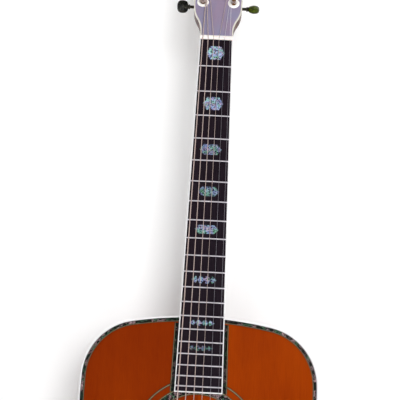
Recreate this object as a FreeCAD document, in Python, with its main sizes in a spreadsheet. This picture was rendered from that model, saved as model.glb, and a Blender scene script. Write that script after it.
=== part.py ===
import FreeCAD, Part
import math
import os
import re
import Sketcher
from types import SimpleNamespace
from FreeCAD import Placement, Rotation, Vector

# Acoustic-electric dreadnought guitar, in millimetres.
# +Z runs up the neck, +Y goes back through the body and +X is the treble side.
# The origin is on the axis of the end jack, in the plane of the body's tail.

SIZES = {
    # Body outline, as tangent arcs from the neck end to the tail
    "body_length": 508.0,
    "upper_bout_width": 290.2,
    "waist_width": 273.0,
    "lower_bout_width": 397.0,
    "upper_bout_drop": 96.0,
    "waist_drop": 211.0,
    "waist_to_lower_bout": 175.0,
    "lower_bout_rise": 122.0,
    "neck_end_radius": 456.0,
    "shoulder_radius": 72.0,
    "waist_radius": 140.0,
    "lower_side_radius": 137.98,
    "lower_corner_radius": 105.0,
    "tail_radius": 450.0,
    "neck_end_depth": 98.0,
    "tail_depth": 122.0,
    "back_arch_radius": 4600.0,
    # Plates, sides and edges
    "top_thickness": 2.8,
    "back_thickness": 2.6,
    "side_thickness": 2.2,
    "binding_height": 6.5,
    "purfling_width": 5.6,
    "inlay_depth": 1.4,
    "lining_width": 6.5,
    "lining_height": 14.0,
    "neck_block_width": 90.0,
    "neck_block_height": 60.0,
    "tail_block_width": 80.0,
    "tail_block_height": 22.0,
    # Soundhole and rosette
    "soundhole_radius": 50.8,
    "soundhole_drop": 152.0,
    "shell_ring_inner_radius": 58.0,
    "shell_ring_outer_radius": 68.0,
    "fine_ring_inner_radius": 75.4,
    "fine_ring_outer_radius": 77.6,
    # Bracing
    "x_crossing_drop": 233.0,
    "x_half_angle": 49.0,
    "x_brace_width": 8.0,
    "x_brace_height": 15.0,
    "brace_taper_radius": 1700.0,
    "cross_bar_drop": 78.0,
    "cross_bar_width": 12.0,
    "cross_bar_height": 14.0,
    "tone_bar_width": 7.0,
    "tone_bar_height": 10.0,
    "tone_bar_length": 150.0,
    "tone_bar_angle": 64.0,
    "finger_brace_width": 6.0,
    "finger_brace_height": 6.0,
    "finger_brace_length": 52.0,
    "back_brace_width": 8.0,
    "back_brace_height": 14.0,
    "back_strip_width": 16.0,
    "back_strip_thickness": 2.0,
    "bridge_plate_thickness": 2.5,
    "bridge_plate_margin": 5.0,
    # Scale, fretboard and nut
    "scale_length": 645.2,
    "saddle_compensation": 2.5,
    "nut_width": 42.9,
    "octave_width": 54.0,
    "fingerboard_length": 449.6,
    "fingerboard_thickness": 6.3,
    "fingerboard_crown_radius": 406.4,
    "board_binding_width": 1.5,
    "fret_width": 2.2,
    "fret_height": 1.1,
    "fret_tang_width": 0.6,
    "fret_tang_depth": 1.8,
    "nut_length": 6.0,
    "throat_length": 18.0,
    "nut_rise": 1.9,
    "marker_depth": 1.2,
    "marker_tip_length": 5.5,
    "strip_width": 5.6,
    # Neck
    "neck_depth_at_nut": 14.6,
    "neck_depth_at_body": 17.6,
    "neck_edge_radius": 9.0,
    "heel_cap_thickness": 2.5,
    "heel_foot_length": 15.0,
    "heel_foot_width": 27.0,
    "tenon_width": 20.0,
    "tenon_flare": 4.0,
    "tenon_length": 18.0,
    "tenon_foot_gap": 12.0,
    "joint_clearance": 0.1,
    "truss_rod_radius": 3.0,
    "truss_rod_cover": 1.5,
    "truss_nut_radius": 4.0,
    "truss_nut_length": 9.0,
    "truss_access_radius": 5.0,
    "truss_running_clearance": 0.05,
    "truss_thread_radius": 1.9,
    "truss_thread_length": 7.0,
    "truss_socket_radius": 2.5,
    "truss_rod_length": 350.0,
    # Headstock
    "headstock_tilt": 15.0,
    "headstock_length": 180.0,
    "headstock_thickness": 14.5,
    "headstock_step": 1.0,
    "veneer_thickness": 2.0,
    "headstock_binding_width": 1.6,
    "flare_start": 8.0,
    "flare_length": 42.0,
    "flare_half_width": 32.2,
    "crest_half_width": 36.5,
    "crest_rise": 3.0,
    "crest_corner_radius": 4.0,
    # Tuners, measured along the headstock's face
    "first_post_distance": 56.0,
    "post_pitch": 41.0,
    "post_edge_distance": 11.8,
    "post_radius": 3.0,
    "post_top_height": 11.5,
    "post_hole_height": 9.2,
    "post_hole_radius": 0.9,
    "post_running_clearance": 0.05,
    "bushing_flange_radius": 6.6,
    "bushing_flange_thickness": 1.6,
    "bushing_sleeve_radius": 4.9,
    "bushing_sleeve_length": 9.0,
    "housing_width": 15.0,
    "housing_depth": 12.0,
    "housing_below": 7.0,
    "housing_above": 14.0,
    "housing_corner_radius": 3.0,
    "gear_radius": 5.3,
    "gear_thickness": 3.2,
    "gear_inset": 3.4,
    "cavity_clearance": 0.5,
    "worm_offset": 8.5,
    "worm_radius": 2.8,
    "worm_length": 8.0,
    "shaft_radius": 2.0,
    "shaft_running_clearance": 0.05,
    "button_gap": 8.6,
    "button_length": 14.0,
    "button_height": 17.4,
    "button_thickness": 8.4,
    "button_edge_radius": 2.6,
    "collar_radius": 3.3,
    "collar_length": 2.2,
    # Bridge, saddle and pins
    "bridge_length": 154.0,
    "bridge_thickness": 8.0,
    "bridge_wing_thickness": 3.4,
    "bridge_centre_length": 92.0,
    "bridge_front": 10.0,
    "bridge_back": 22.0,
    "bridge_belly": 5.0,
    "bridge_corner_radius": 5.0,
    "saddle_length": 73.0,
    "saddle_thickness": 2.4,
    "saddle_slot_depth": 5.2,
    "saddle_slant": 2.2,
    "saddle_bevel": 0.6,
    "pickup_thickness": 1.2,
    "pin_drop": 16.0,
    "pin_hole_radius": 2.65,
    "pin_top_radius": 2.6,
    "pin_tip_radius": 2.1,
    "pin_length": 22.0,
    "pin_collar_radius": 4.2,
    "pin_head_height": 4.4,
    "pin_flute_floor": 1.1,
    "pin_flute_width": 1.8,
    "ramp_depth": 4.8,
    "ramp_length": 9.5,
    # Strings, from the low string on the bass side to the high one
    "string_spread_at_nut": 35.6,
    "string_spread_at_saddle": 55.0,
    "string_one_radius": 0.15,
    "string_two_radius": 0.2,
    "string_three_radius": 0.31,
    "string_four_radius": 0.41,
    "string_five_radius": 0.53,
    "string_six_radius": 0.68,
    "string_height_at_nut": 1.3,
    "string_height_at_saddle": 5.5,
    "string_bend_radius": 3.0,
    "string_dip_in_ramp": 2.0,
    "string_slot_clearance": 0.05,
    "ball_radius": 1.9,
    "ball_offset": 4.0,
    "wrap_clearance": 0.2,
    "wrap_gap": 0.5,
    "wrap_seat": 0.9,
    "wrap_exit_rise": 1.2,
    "wrap_exit_bend": 1.2,
    "wrap_exit_angle": 120.0,
    # Pickguard, measured from the soundhole's centre
    "guard_thickness": 0.9,
    "guard_inner_radius": 79.0,
    "guard_start_angle": 34.0,
    "guard_end_angle": 62.0,
    "guard_reach": 121.0,
    "guard_reach_drop": 42.0,
    "guard_shoulder": 103.0,
    "guard_foot": 84.0,
    "guard_foot_drop": 92.0,
    # Preamp at the soundhole's rim
    "preamp_angle": 30.0,
    "preamp_length": 48.0,
    "preamp_width": 27.0,
    "preamp_depth": 9.5,
    "preamp_rim_gap": 0.6,
    "wheel_radius": 8.5,
    "wheel_thickness": 2.6,
    "wheel_spacing": 22.0,
    "wheel_reach": 3.2,
    "wheel_pin_radius": 1.5,
    "wheel_running_clearance": 0.05,
    "wheel_slot_inset": 2.4,
    "battery_length": 48.5,
    "battery_width": 26.5,
    "battery_thickness": 17.5,
    "clip_thickness": 1.5,
    "lead_radius": 1.2,
    # End jack and strap buttons
    "jack_bore_radius": 3.2,
    "jack_bore_depth": 20.0,
    "jack_barrel_radius": 4.9,
    "jack_sleeve_radius": 6.0,
    "jack_can_radius": 7.5,
    "jack_can_length": 20.0,
    "end_button_length": 15.0,
    "end_button_neck_radius": 6.2,
    "end_button_rim_radius": 7.8,
    "end_button_rim_length": 5.0,
    "end_button_foot_radius": 8.6,
    "end_button_foot_length": 1.5,
    "strap_button_length": 12.0,
    "strap_button_neck_radius": 3.6,
    "strap_button_rim_radius": 7.0,
    "strap_button_foot_radius": 6.0,
    "strap_button_rim_length": 3.5,
    "strap_button_foot_length": 2.0,
    # One overrun for every cut
    "overrun": 5.0,
}

doc = FreeCAD.newDocument("Guitar")
sheet = doc.addObject("Spreadsheet::Sheet", "Sizes")
for row, (alias, value) in enumerate(SIZES.items(), 1):
    sheet.set("A%d" % row, alias)
    sheet.set("B%d" % row, str(value))
    sheet.setAlias("B%d" % row, alias)
doc.recompute()
S = SimpleNamespace(**{alias: float(sheet.get(alias)) for alias in SIZES})

PARTS = []
X_AXIS = Vector(1, 0, 0)
Y_AXIS = Vector(0, 1, 0)
Z_AXIS = Vector(0, 0, 1)

# Places shared by several pieces
FRONT = -S.tail_depth / 2
TOP_INSIDE = FRONT + S.top_thickness
NUT_Z = S.body_length + S.scale_length * (1 - 2 ** (-14 / 12))
BOARD_FACE = FRONT - S.fingerboard_thickness
BOARD_END = NUT_Z - S.fingerboard_length
HOLE_Z = S.body_length - S.soundhole_drop
SADDLE_Z = NUT_Z - S.scale_length - S.saddle_compensation
PIN_Z = SADDLE_Z - S.pin_drop
BRIDGE_FACE = FRONT - S.bridge_thickness
STRING_RADII = [
    S.string_six_radius,
    S.string_five_radius,
    S.string_four_radius,
    S.string_three_radius,
    S.string_two_radius,
    S.string_one_radius,
]


def bound(text):
    """Point every word of an expression at its cell in the sheet."""
    return re.sub(r"[a-z]\w*", lambda word: "Sizes." + word.group(0), text)


def keep(piece, label):
    """Name a finished sub-part and put it on the list of files."""
    piece.Label = label
    PARTS.append(piece)
    return piece


def solid(label, shape, place=None):
    """A sub-part whose shape is worked out by this file's own functions."""
    piece = doc.addObject("Part::Feature", label)
    piece.Shape = shape
    if place is not None:
        piece.Placement = place
    return keep(piece, label)


def body_plane(body, role):
    for plane in body.Origin.OriginFeatures:
        if plane.Role == role:
            return plane
    raise ValueError(role)


def polygon_sketch(body, role, points):
    """A closed polygon whose corners are bound to the sheet, one pair of expressions each."""
    sketch = body.newObject("Sketcher::SketchObject", body.Name + "_profile")
    sketch.AttachmentSupport = [(body_plane(body, role), "")]
    sketch.MapMode = "FlatFace"
    values = [[float(body.evalExpression(bound(text))) for text in pair] for pair in points]
    corners = [Vector(x, y, 0) for x, y in values]
    for index, corner in enumerate(corners):
        after = corners[(index + 1) % len(corners)]
        sketch.addGeometry(Part.LineSegment(corner, after), False)
    count = len(corners)
    for index in range(count):
        sketch.addConstraint(Sketcher.Constraint("Coincident", index, 2, (index + 1) % count, 1))
    for index, pair in enumerate(points):
        for direction, text, value in zip(("DistanceX", "DistanceY"), pair, values[index]):
            rule = sketch.addConstraint(Sketcher.Constraint(direction, -1, 1, index, 1, value))
            sketch.setExpression("Constraints[%d]" % rule, bound(text))
    return sketch


def turned(label, points, place=None):
    """A body of revolution about its own Z axis from a profile of radius and height."""
    body = doc.addObject("PartDesign::Body", label)
    sketch = polygon_sketch(body, "XZ_Plane", points)
    lathe = body.newObject("PartDesign::Revolution", label + "_turning")
    lathe.Profile = sketch
    lathe.ReferenceAxis = (sketch, ["V_Axis"])
    lathe.Angle = 360.0
    if place is not None:
        body.Placement = place
    return keep(body, label)


def flat_face(corners):
    """A flat face through its corners, with repeated ones left out."""
    kept = [corner for number, corner in enumerate(corners) if corner != corners[number - 1]]
    return Part.Face(Part.makePolygon(kept + kept[:1]))


def faceted(profile, sides):
    """A solid about the Z axis with flat facets, from a closed profile of radius and height."""
    rings = []
    for radius, height in profile:
        turns = [2 * math.pi * index / sides for index in range(sides)]
        rings.append([Vector(radius * math.cos(turn), radius * math.sin(turn), height) for turn in turns])
    faces = []
    for (radius, height), (after_radius, after_height), ring, after in zip(
        profile, profile[1:] + profile[:1], rings, rings[1:] + rings[:1]
    ):
        if height == after_height and radius * after_radius == 0:
            if radius + after_radius > 0:
                faces.append(flat_face(ring if radius else after))
            continue
        if radius + after_radius == 0:
            continue
        for index in range(sides):
            beside = (index + 1) % sides
            faces.append(flat_face([ring[index], ring[beside], after[beside], after[index]]))
    return Part.Solid(Part.Shell(faces))


ROUND_SIDES = 12


def drill(radius, length, start, axis):
    """A drilled hole's space: a twelve-sided prism that a round bar of the radius just fits."""
    wide = radius / math.cos(math.pi / ROUND_SIDES)
    shape = faceted([(0, 0), (wide, 0), (wide, length), (0, length)], ROUND_SIDES)
    shape.Placement = Placement(start, Rotation(Z_AXIS, axis))
    return shape


def block(low, high):
    """A plain box between two corners."""
    return Part.makeBox(high[0] - low[0], high[1] - low[1], high[2] - low[2], Vector(*low))


def ring_cut(outer, inner, low, length, centre_z):
    """A flat ring about the soundhole's axis, or a disc if the inner radius is zero."""
    start = Vector(0, low, centre_z)
    ring = Part.makeCylinder(outer, length, start, Y_AXIS)
    if inner:
        ring = ring.cut(Part.makeCylinder(inner, length, start, Y_AXIS))
    return ring


# Body outline


def meeting_point(first, first_radius, second, second_radius):
    """The crossing of two circles that lies further out on the treble side."""
    gap = second - first
    along = (first_radius**2 - second_radius**2 + gap.Length**2) / (2 * gap.Length)
    across = math.sqrt(first_radius**2 - along**2)
    unit = gap / gap.Length
    side = Vector(-unit.z, 0, unit.x)
    options = [first + unit * along + side * across, first + unit * along - side * across]
    return max(options, key=lambda point: point.x)


def outline_stretch():
    """How far the body's length stretches the three runs along it, from their own sum."""
    return S.body_length / (S.waist_drop + S.waist_to_lower_bout + S.lower_bout_rise)


CORNER_LIMIT_SHARE = 0.8


def outline_circles():
    """Centres and radii of the half outline's arcs, from the neck end to the tail.

    The waist arc and the lower side's arc share the sum that the widths and the run between
    them give, in the proportion of their named radii, so they stay tangent.
    """
    upper = S.upper_bout_width / 2
    waist = S.waist_width / 2
    lower = S.lower_bout_width / 2
    stretch = outline_stretch()
    upper_run = (S.waist_drop - S.upper_bout_drop) * stretch
    lower_run = S.waist_to_lower_bout * stretch
    upper_sum = ((upper - waist) ** 2 + upper_run**2) / (2 * (upper - waist))
    lower_sum = ((lower - waist) ** 2 + lower_run**2) / (2 * (lower - waist))
    waist_radius = lower_sum * S.waist_radius / (S.waist_radius + S.lower_side_radius)
    upper_radius = upper_sum - waist_radius
    lower_radius = lower_sum - waist_radius
    corner_radius = min(S.lower_corner_radius, lower_radius * CORNER_LIMIT_SHARE)
    neck_end = Vector(0, 0, S.body_length - S.neck_end_radius)
    upper_side = Vector(upper - upper_radius, 0, S.body_length - S.upper_bout_drop * stretch)
    waist_centre = Vector(waist + waist_radius, 0, S.body_length - S.waist_drop * stretch)
    lower_side = Vector(lower - lower_radius, 0, S.lower_bout_rise * stretch)
    tail = Vector(0, 0, S.tail_radius)
    shoulder = meeting_point(
        neck_end, S.neck_end_radius - S.shoulder_radius, upper_side, upper_radius - S.shoulder_radius
    )
    corner = meeting_point(
        lower_side, lower_radius - corner_radius, tail, S.tail_radius - corner_radius
    )
    return [
        (neck_end, S.neck_end_radius, 1),
        (shoulder, S.shoulder_radius, 1),
        (upper_side, upper_radius, 1),
        (waist_centre, waist_radius, -1),
        (lower_side, lower_radius, 1),
        (corner, corner_radius, 1),
        (tail, S.tail_radius, 1),
    ]


def touch(first, second, inset):
    """Where two neighbouring arcs of the outline meet, at an inset from it."""
    centre, radius, sense = first
    other, other_radius, other_sense = second
    if sense == other_sense and radius < other_radius or sense < 0:
        centre, other = other, centre
        radius = other_radius
    return centre + (other - centre).normalize() * (radius - inset)


def mirrored(point):
    return Vector(-point.x, point.y, point.z)


def outline_wire(inset):
    """The closed outline at an inset from the outside of the sides."""
    circles = outline_circles()
    joints = [touch(a, b, inset) for a, b in zip(circles, circles[1:])]
    edges = []
    top = Vector(0, 0, S.body_length - inset)
    edges.append(Part.Arc(mirrored(joints[0]), top, joints[0]).toShape())
    for (centre, radius, sense), start, end in zip(circles[1:-1], joints, joints[1:]):
        middle = ((start - centre).normalize() + (end - centre).normalize()).normalize()
        middle = centre + middle * (radius - sense * inset)
        edges.append(Part.Arc(start, middle, end).toShape())
        edges.append(Part.Arc(mirrored(start), mirrored(middle), mirrored(end)).toShape())
    edges.append(Part.Arc(mirrored(joints[-1]), Vector(0, 0, inset), joints[-1]).toShape())
    return Part.Wire(Part.sortEdges(edges)[0])


def outline_prism(inset, low, high):
    face = Part.Face(outline_wire(inset))
    face.translate(Vector(0, low, 0))
    return face.extrude(Vector(0, high - low, 0))


def outline_ring(outside, inside, low, high):
    return outline_prism(outside, low, high).cut(outline_prism(inside, low, high))


def back_ball(thickness):
    """The ball whose far side is the arched back, less a thickness."""
    neck_edge = Vector(0, FRONT + S.neck_end_depth, S.body_length)
    tail_edge = Vector(0, FRONT + S.tail_depth, 0)
    chord = tail_edge - neck_edge
    inward = Vector(0, chord.z, -chord.y).normalize()
    rise = math.sqrt(S.back_arch_radius**2 - (chord.Length / 2) ** 2)
    centre = (neck_edge + tail_edge) / 2 + inward * rise
    return Part.makeSphere(S.back_arch_radius - thickness, centre)


BACK_FAR = FRONT + S.tail_depth + S.overrun
BALLS = {
    "outside": back_ball(0),
    "ledge": back_ball(S.binding_height),
    "inside": back_ball(S.back_thickness),
    "strip": back_ball(S.back_thickness + S.back_strip_thickness),
    "brace": back_ball(S.back_thickness + S.back_brace_height),
    "lining": back_ball(S.back_thickness + S.lining_height),
}


# Fretboard outline and neck joint


def board_half_width(height):
    """Half the fretboard's width at a height on the neck."""
    slope = (S.octave_width - S.nut_width) / (S.scale_length / 2)
    return (S.nut_width + slope * (NUT_Z - height)) / 2


def board_prism(grow, low_z, high_z, low_y, high_y):
    """The fretboard's tapered outline, grown on its two sides."""
    low = board_half_width(low_z) + grow
    high = board_half_width(high_z) + grow
    corners = [(-low, low_z), (low, low_z), (high, high_z), (-high, high_z)]
    points = [Vector(x, low_y, z) for x, z in corners]
    face = Part.Face(Part.makePolygon(points + points[:1]))
    return face.extrude(Vector(0, high_y - low_y, 0))


def board_crown():
    """The cylinder that crowns the fretboard's face."""
    low = BOARD_END - S.overrun
    axis = Vector(0, BOARD_FACE + S.fingerboard_crown_radius, low)
    return Part.makeCylinder(S.fingerboard_crown_radius, S.fingerboard_length + 2 * S.overrun, axis, Z_AXIS)


def tenon(grow):
    """The neck's dovetail tenon, grown for the mortise in the block."""
    outer = S.tenon_width / 2 + grow
    inner = outer + S.tenon_flare
    root = S.body_length + S.overrun
    tip = S.body_length - S.tenon_length - grow
    far = FRONT + S.neck_end_depth - S.tenon_foot_gap + grow
    corners = [(-outer, root), (outer, root), (inner, tip), (-inner, tip)]
    points = [Vector(x, FRONT, z) for x, z in corners]
    face = Part.Face(Part.makePolygon(points + points[:1]))
    return face.extrude(Vector(0, far - FRONT, 0))


MORTISE = tenon(S.joint_clearance)


def pin_places():
    """The six places of the bridge pins, from the bass side."""
    step = S.string_spread_at_saddle / 5
    return [-S.string_spread_at_saddle / 2 + step * index for index in range(6)]


def pin_holes(low, high):
    places = [Vector(x, low, PIN_Z) for x in pin_places()]
    return Part.makeCompound([drill(S.pin_hole_radius, high - low, place, Y_AXIS) for place in places])


def pickup_lead_hole(low, high):
    x = -S.saddle_length / 2 + 2 * S.lead_radius
    slant = saddle_height(x)
    return drill(2 * S.lead_radius, high - low, Vector(x, low, slant), Y_AXIS)


def saddle_height(x):
    """The slanted saddle's height on the neck axis at a place across it."""
    return SADDLE_Z + x * math.tan(math.radians(S.saddle_slant))


# Body shell


def soundboard():
    near = FRONT - S.overrun
    floor = FRONT + S.inlay_depth
    plate = outline_prism(S.side_thickness, FRONT, TOP_INSIDE)
    channel_inset = S.side_thickness + S.purfling_width
    plate = plate.cut(outline_ring(S.side_thickness - S.joint_clearance, channel_inset, near, floor))
    plate = plate.cut(ring_cut(S.shell_ring_outer_radius, S.shell_ring_inner_radius, near, floor - near, HOLE_Z))
    plate = plate.cut(fine_ring(near, floor))
    plate = plate.cut(shell_strips(near, floor))
    plate = plate.cut(ring_cut(S.soundhole_radius, 0, near, 2 * S.overrun + S.top_thickness, HOLE_Z))
    plate = plate.cut(MORTISE)
    plate = plate.cut(pin_holes(near, TOP_INSIDE + S.overrun))
    plate = plate.cut(pickup_lead_hole(near, TOP_INSIDE + S.overrun))
    solid("soundboard", plate)


def shell_strips(low, high):
    """The shell strips on both sides of the fretboard, from the edge to the rosette."""
    strips = board_prism(S.strip_width, BOARD_END, S.body_length, low, high)
    strips = strips.cut(board_prism(0, BOARD_END - S.overrun, S.body_length + S.overrun, low, high))
    strips = strips.common(outline_prism(S.side_thickness + S.purfling_width, low, high))
    return strips.cut(ring_cut(S.shell_ring_outer_radius, 0, low, high - low, HOLE_Z))


def fine_ring(low, high):
    """The thin outer ring of the rosette, which stops at the shell strips."""
    ring = ring_cut(S.fine_ring_outer_radius, S.fine_ring_inner_radius, low, high - low, HOLE_Z)
    return ring.cut(board_prism(S.strip_width, HOLE_Z, S.body_length, low, high))


def rosette():
    depth = S.inlay_depth
    shell = ring_cut(S.shell_ring_outer_radius, S.shell_ring_inner_radius, FRONT, depth, HOLE_Z)
    solid("rosette", Part.makeCompound([shell, fine_ring(FRONT, FRONT + depth)]))


def top_purfling():
    low = FRONT
    high = FRONT + S.inlay_depth
    ring = outline_ring(S.side_thickness, S.side_thickness + S.purfling_width, low, high)
    ring = ring.fuse(shell_strips(low, high))
    solid("top_purfling", ring.cut(MORTISE).removeSplitter())


def top_binding():
    ring = outline_ring(0, S.side_thickness, FRONT, FRONT + S.binding_height)
    solid("top_binding", ring.cut(MORTISE))


def back_binding():
    ring = outline_ring(0, S.side_thickness, FRONT, BACK_FAR)
    solid("back_binding", ring.common(BALLS["outside"]).cut(BALLS["ledge"]))


def sides():
    ring = outline_ring(0, S.side_thickness, FRONT + S.binding_height, BACK_FAR)
    ring = ring.common(BALLS["ledge"]).cut(MORTISE)
    jack = Part.makeCylinder(S.jack_sleeve_radius, S.body_length / 2, Vector(0, 0, -S.overrun), Z_AXIS)
    ring = ring.cut(jack)
    half = S.lower_bout_width
    for label, low, high in (("side_bass", -half, 0), ("side_treble", 0, half)):
        keeper = block((low, FRONT, -S.overrun), (high, BACK_FAR, S.body_length + S.overrun))
        solid(label, ring.common(keeper))


def back_panel():
    plate = outline_prism(S.side_thickness, FRONT, BACK_FAR)
    solid("back_panel", plate.common(BALLS["outside"]).cut(BALLS["inside"]))


def neck_block_shape():
    half = S.neck_block_width / 2
    low = S.body_length - S.side_thickness - S.neck_block_height
    shape = block((-half, TOP_INSIDE, low), (half, BACK_FAR, S.body_length))
    return shape.common(outline_prism(S.side_thickness, FRONT, BACK_FAR)).common(BALLS["inside"])


def tail_block_shape():
    half = S.tail_block_width / 2
    high = S.side_thickness + S.tail_block_height
    shape = block((-half, TOP_INSIDE, 0), (half, BACK_FAR, high))
    return shape.common(outline_prism(S.side_thickness, FRONT, BACK_FAR)).common(BALLS["inside"])


def blocks_and_linings():
    neck_block = neck_block_shape()
    tail_block = tail_block_shape()
    inner = S.side_thickness + S.lining_width
    top = outline_ring(S.side_thickness, inner, TOP_INSIDE, TOP_INSIDE + S.lining_height)
    back = outline_ring(S.side_thickness, inner, FRONT, BACK_FAR)
    back = back.common(BALLS["inside"]).cut(BALLS["lining"])
    solid("top_linings", top.cut(neck_block).cut(tail_block))
    solid("back_linings", back.cut(neck_block).cut(tail_block))
    start = Vector(0, truss_rod_y(), S.body_length / 2)
    access = Part.makeCylinder(S.truss_access_radius, S.body_length / 2, start, Z_AXIS)
    solid("neck_block", neck_block.cut(MORTISE).cut(access))
    jack = Part.makeCylinder(S.jack_sleeve_radius, S.body_length / 2, Vector(0, 0, -S.overrun), Z_AXIS)
    solid("tail_block", tail_block.cut(jack))


# Bracing


def bar(x, height, angle, length, width, depth):
    """A straight bar glued under the soundboard, turned by an angle from the neck's line."""
    shape = block((-width / 2, TOP_INSIDE, -length / 2), (width / 2, TOP_INSIDE + depth, length / 2))
    shape.rotate(Vector(), Y_AXIS, angle)
    shape.translate(Vector(x, 0, height))
    return shape


X_Z = S.body_length - S.x_crossing_drop


def x_bar(sense, low, high):
    """One leg of the crossed pair, between two depths."""
    half = S.x_brace_width / 2
    shape = block((-half, low, -S.body_length), (half, high, S.body_length))
    shape.rotate(Vector(), Y_AXIS, sense * S.x_half_angle)
    shape.translate(Vector(0, 0, X_Z))
    return shape


def x_brace_pair():
    """The two crossed legs, lapped at half their height."""
    high = TOP_INSIDE + S.x_brace_height
    middle = TOP_INSIDE + S.x_brace_height / 2
    room = outline_prism(S.side_thickness + S.lining_width, TOP_INSIDE, high)
    arch = Part.makeSphere(S.brace_taper_radius, Vector(0, high - S.brace_taper_radius, X_Z))
    first = x_bar(1, TOP_INSIDE, high).common(room).common(arch)
    second = x_bar(-1, TOP_INSIDE, high).common(room).common(arch)
    notch = x_bar(-1, TOP_INSIDE, middle).common(x_bar(1, TOP_INSIDE, high))
    lap = x_bar(1, middle, high).common(x_bar(-1, TOP_INSIDE, high))
    return first.cut(notch), second.cut(lap)


def x_braces():
    bass, treble = x_brace_pair()
    solid("x_brace_bass", bass)
    solid("x_brace_treble", treble)


TONE_BAR_SHARES = (0.741, 0.452)
TONE_BAR_ACROSS_SHARE = 0.075
FINGER_BRACE_SHARES = (0.25, 0.34)


def plate_low():
    """The bridge plate's edge towards the tail."""
    return SADDLE_Z - S.bridge_back - S.bridge_belly - S.bridge_plate_margin


def top_braces():
    """The upper cross bar, two tone bars between the bridge plate and the tail, and finger braces."""
    room = outline_prism(S.side_thickness + S.lining_width, TOP_INSIDE, BACK_FAR)
    cross = bar(0, S.body_length - S.cross_bar_drop, 90, S.body_length, S.cross_bar_width, S.cross_bar_height)
    pieces = [cross]
    tone = (S.tone_bar_angle, S.tone_bar_length, S.tone_bar_width, S.tone_bar_height)
    for across, share in zip((0, S.lower_bout_width * TONE_BAR_ACROSS_SHARE), TONE_BAR_SHARES):
        pieces.append(bar(across, plate_low() * share, *tone))
    finger = (S.finger_brace_length, S.finger_brace_width, S.finger_brace_height)
    leg = Vector(math.sin(math.radians(S.x_half_angle)), 0, -math.cos(math.radians(S.x_half_angle)))
    out = Vector(-leg.z, 0, leg.x)
    stand = S.finger_brace_length / 2 + S.x_brace_width
    for share in FINGER_BRACE_SHARES:
        place = Vector(0, 0, X_Z) + leg * S.body_length * share + out * stand
        pieces.append(bar(place.x, place.z, 90 - S.x_half_angle, *finger))
        pieces.append(bar(-place.x, place.z, S.x_half_angle - 90, *finger))
    solid("top_braces", Part.makeCompound([piece.common(room) for piece in pieces]))


def bridge_plate():
    """A thin plate under the bridge that fits between the lower legs of the X."""
    high = SADDLE_Z + S.bridge_front + S.bridge_plate_margin
    low = plate_low()
    lean = math.radians(S.x_half_angle)
    skirt = S.x_brace_width / 2 / math.cos(lean)
    wide = [(X_Z - level) * math.tan(lean) - skirt for level in (low, high)]
    corners = [(-wide[0], low), (wide[0], low), (wide[1], high), (-wide[1], high)]
    points = [Vector(x, TOP_INSIDE, z) for x, z in corners]
    plate = Part.Face(Part.makePolygon(points + points[:1])).extrude(Y_AXIS * S.bridge_plate_thickness)
    far = TOP_INSIDE + S.bridge_plate_thickness + S.overrun
    solid("bridge_plate", plate.cut(pin_holes(FRONT, far)).cut(pickup_lead_hole(FRONT, far)))


BACK_BRACE_SHARES = (0.2, 0.44, 0.68, 0.9)


def back_brace_heights():
    """Four bars across the back, spaced between the two blocks."""
    low = S.side_thickness + S.tail_block_height
    high = S.body_length - S.side_thickness - S.neck_block_height
    return [low + (high - low) * share for share in BACK_BRACE_SHARES]


def back_bracing():
    room = outline_prism(S.side_thickness + S.lining_width, FRONT, BACK_FAR)
    half = S.back_brace_width / 2
    reach = S.lower_bout_width
    bars = [block((-reach, FRONT, z - half), (reach, BACK_FAR, z + half)) for z in back_brace_heights()]
    shell = room.common(BALLS["inside"]).cut(BALLS["brace"])
    solid("back_braces", Part.makeCompound([shell.common(shape) for shape in bars]))
    half = S.back_strip_width / 2
    low = S.side_thickness + S.tail_block_height
    high = S.body_length - S.side_thickness - S.neck_block_height
    strip = block((-half, FRONT, low), (half, BACK_FAR, high))
    strip = strip.common(BALLS["inside"]).cut(BALLS["strip"])
    for shape in bars:
        strip = strip.cut(shape)
    solid("back_strip", strip)


# Fretboard, frets and markers


def fret_height(number):
    """The height of a fret on the neck's line."""
    return NUT_Z - S.scale_length * (1 - 2 ** (-number / 12))


MARKER_SHARES = {1: 0.55, 3: 0.57, 5: 0.585, 7: 0.545, 9: 0.585, 12: 0.58, 15: 0.56, 17: 0.55}
MARKER_HEIGHT_SHARES = {1: 0.50, 3: 0.53, 5: 0.47, 7: 0.47, 9: 0.48, 12: 0.45, 15: 0.40, 17: 0.42}


def marker_prism(number, low, high):
    """A long hexagon with a point towards each edge of the board."""
    middle = (fret_height(number) + fret_height(number - 1)) / 2
    tall = (fret_height(number - 1) - fret_height(number)) * MARKER_HEIGHT_SHARES[number] / 2
    wide = board_half_width(middle) * MARKER_SHARES[number]
    flat = wide - S.marker_tip_length
    corners = [(-wide, 0), (-flat, tall), (flat, tall), (wide, 0), (flat, -tall), (-flat, -tall)]
    points = [Vector(x, low, middle + z) for x, z in corners]
    return Part.Face(Part.makePolygon(points + points[:1])).extrude(Vector(0, high - low, 0))


def fingerboard():
    crown = board_crown()
    near = BOARD_FACE - S.overrun
    whole = board_prism(0, BOARD_END, NUT_Z, near, FRONT).common(crown)
    low = BOARD_END + S.board_binding_width
    inner = board_prism(-S.board_binding_width, low, NUT_Z + S.overrun, near, FRONT)
    core = whole.common(inner)
    floor = BOARD_FACE + S.marker_depth
    markers = [marker_prism(number, near, floor) for number in MARKER_SHARES]
    solid("fret_markers", Part.makeCompound([marker.common(crown) for marker in markers]))
    core = core.cut(Part.makeCompound(markers))
    half = S.fret_tang_width / 2
    slots = []
    for number in range(1, 21):
        z = fret_height(number)
        wide = board_half_width(z)
        slots.append(block((-wide, near, z - half), (wide, BOARD_FACE + S.fret_tang_depth, z + half)))
    solid("fingerboard", core.cut(Part.makeCompound(slots)))
    solid("fingerboard_binding", whole.cut(inner))


FRET_CROWN_SHARES = [(-1, 0), (-0.72, 0.72), (0, 1), (0.72, 0.72), (1, 0)]


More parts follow.
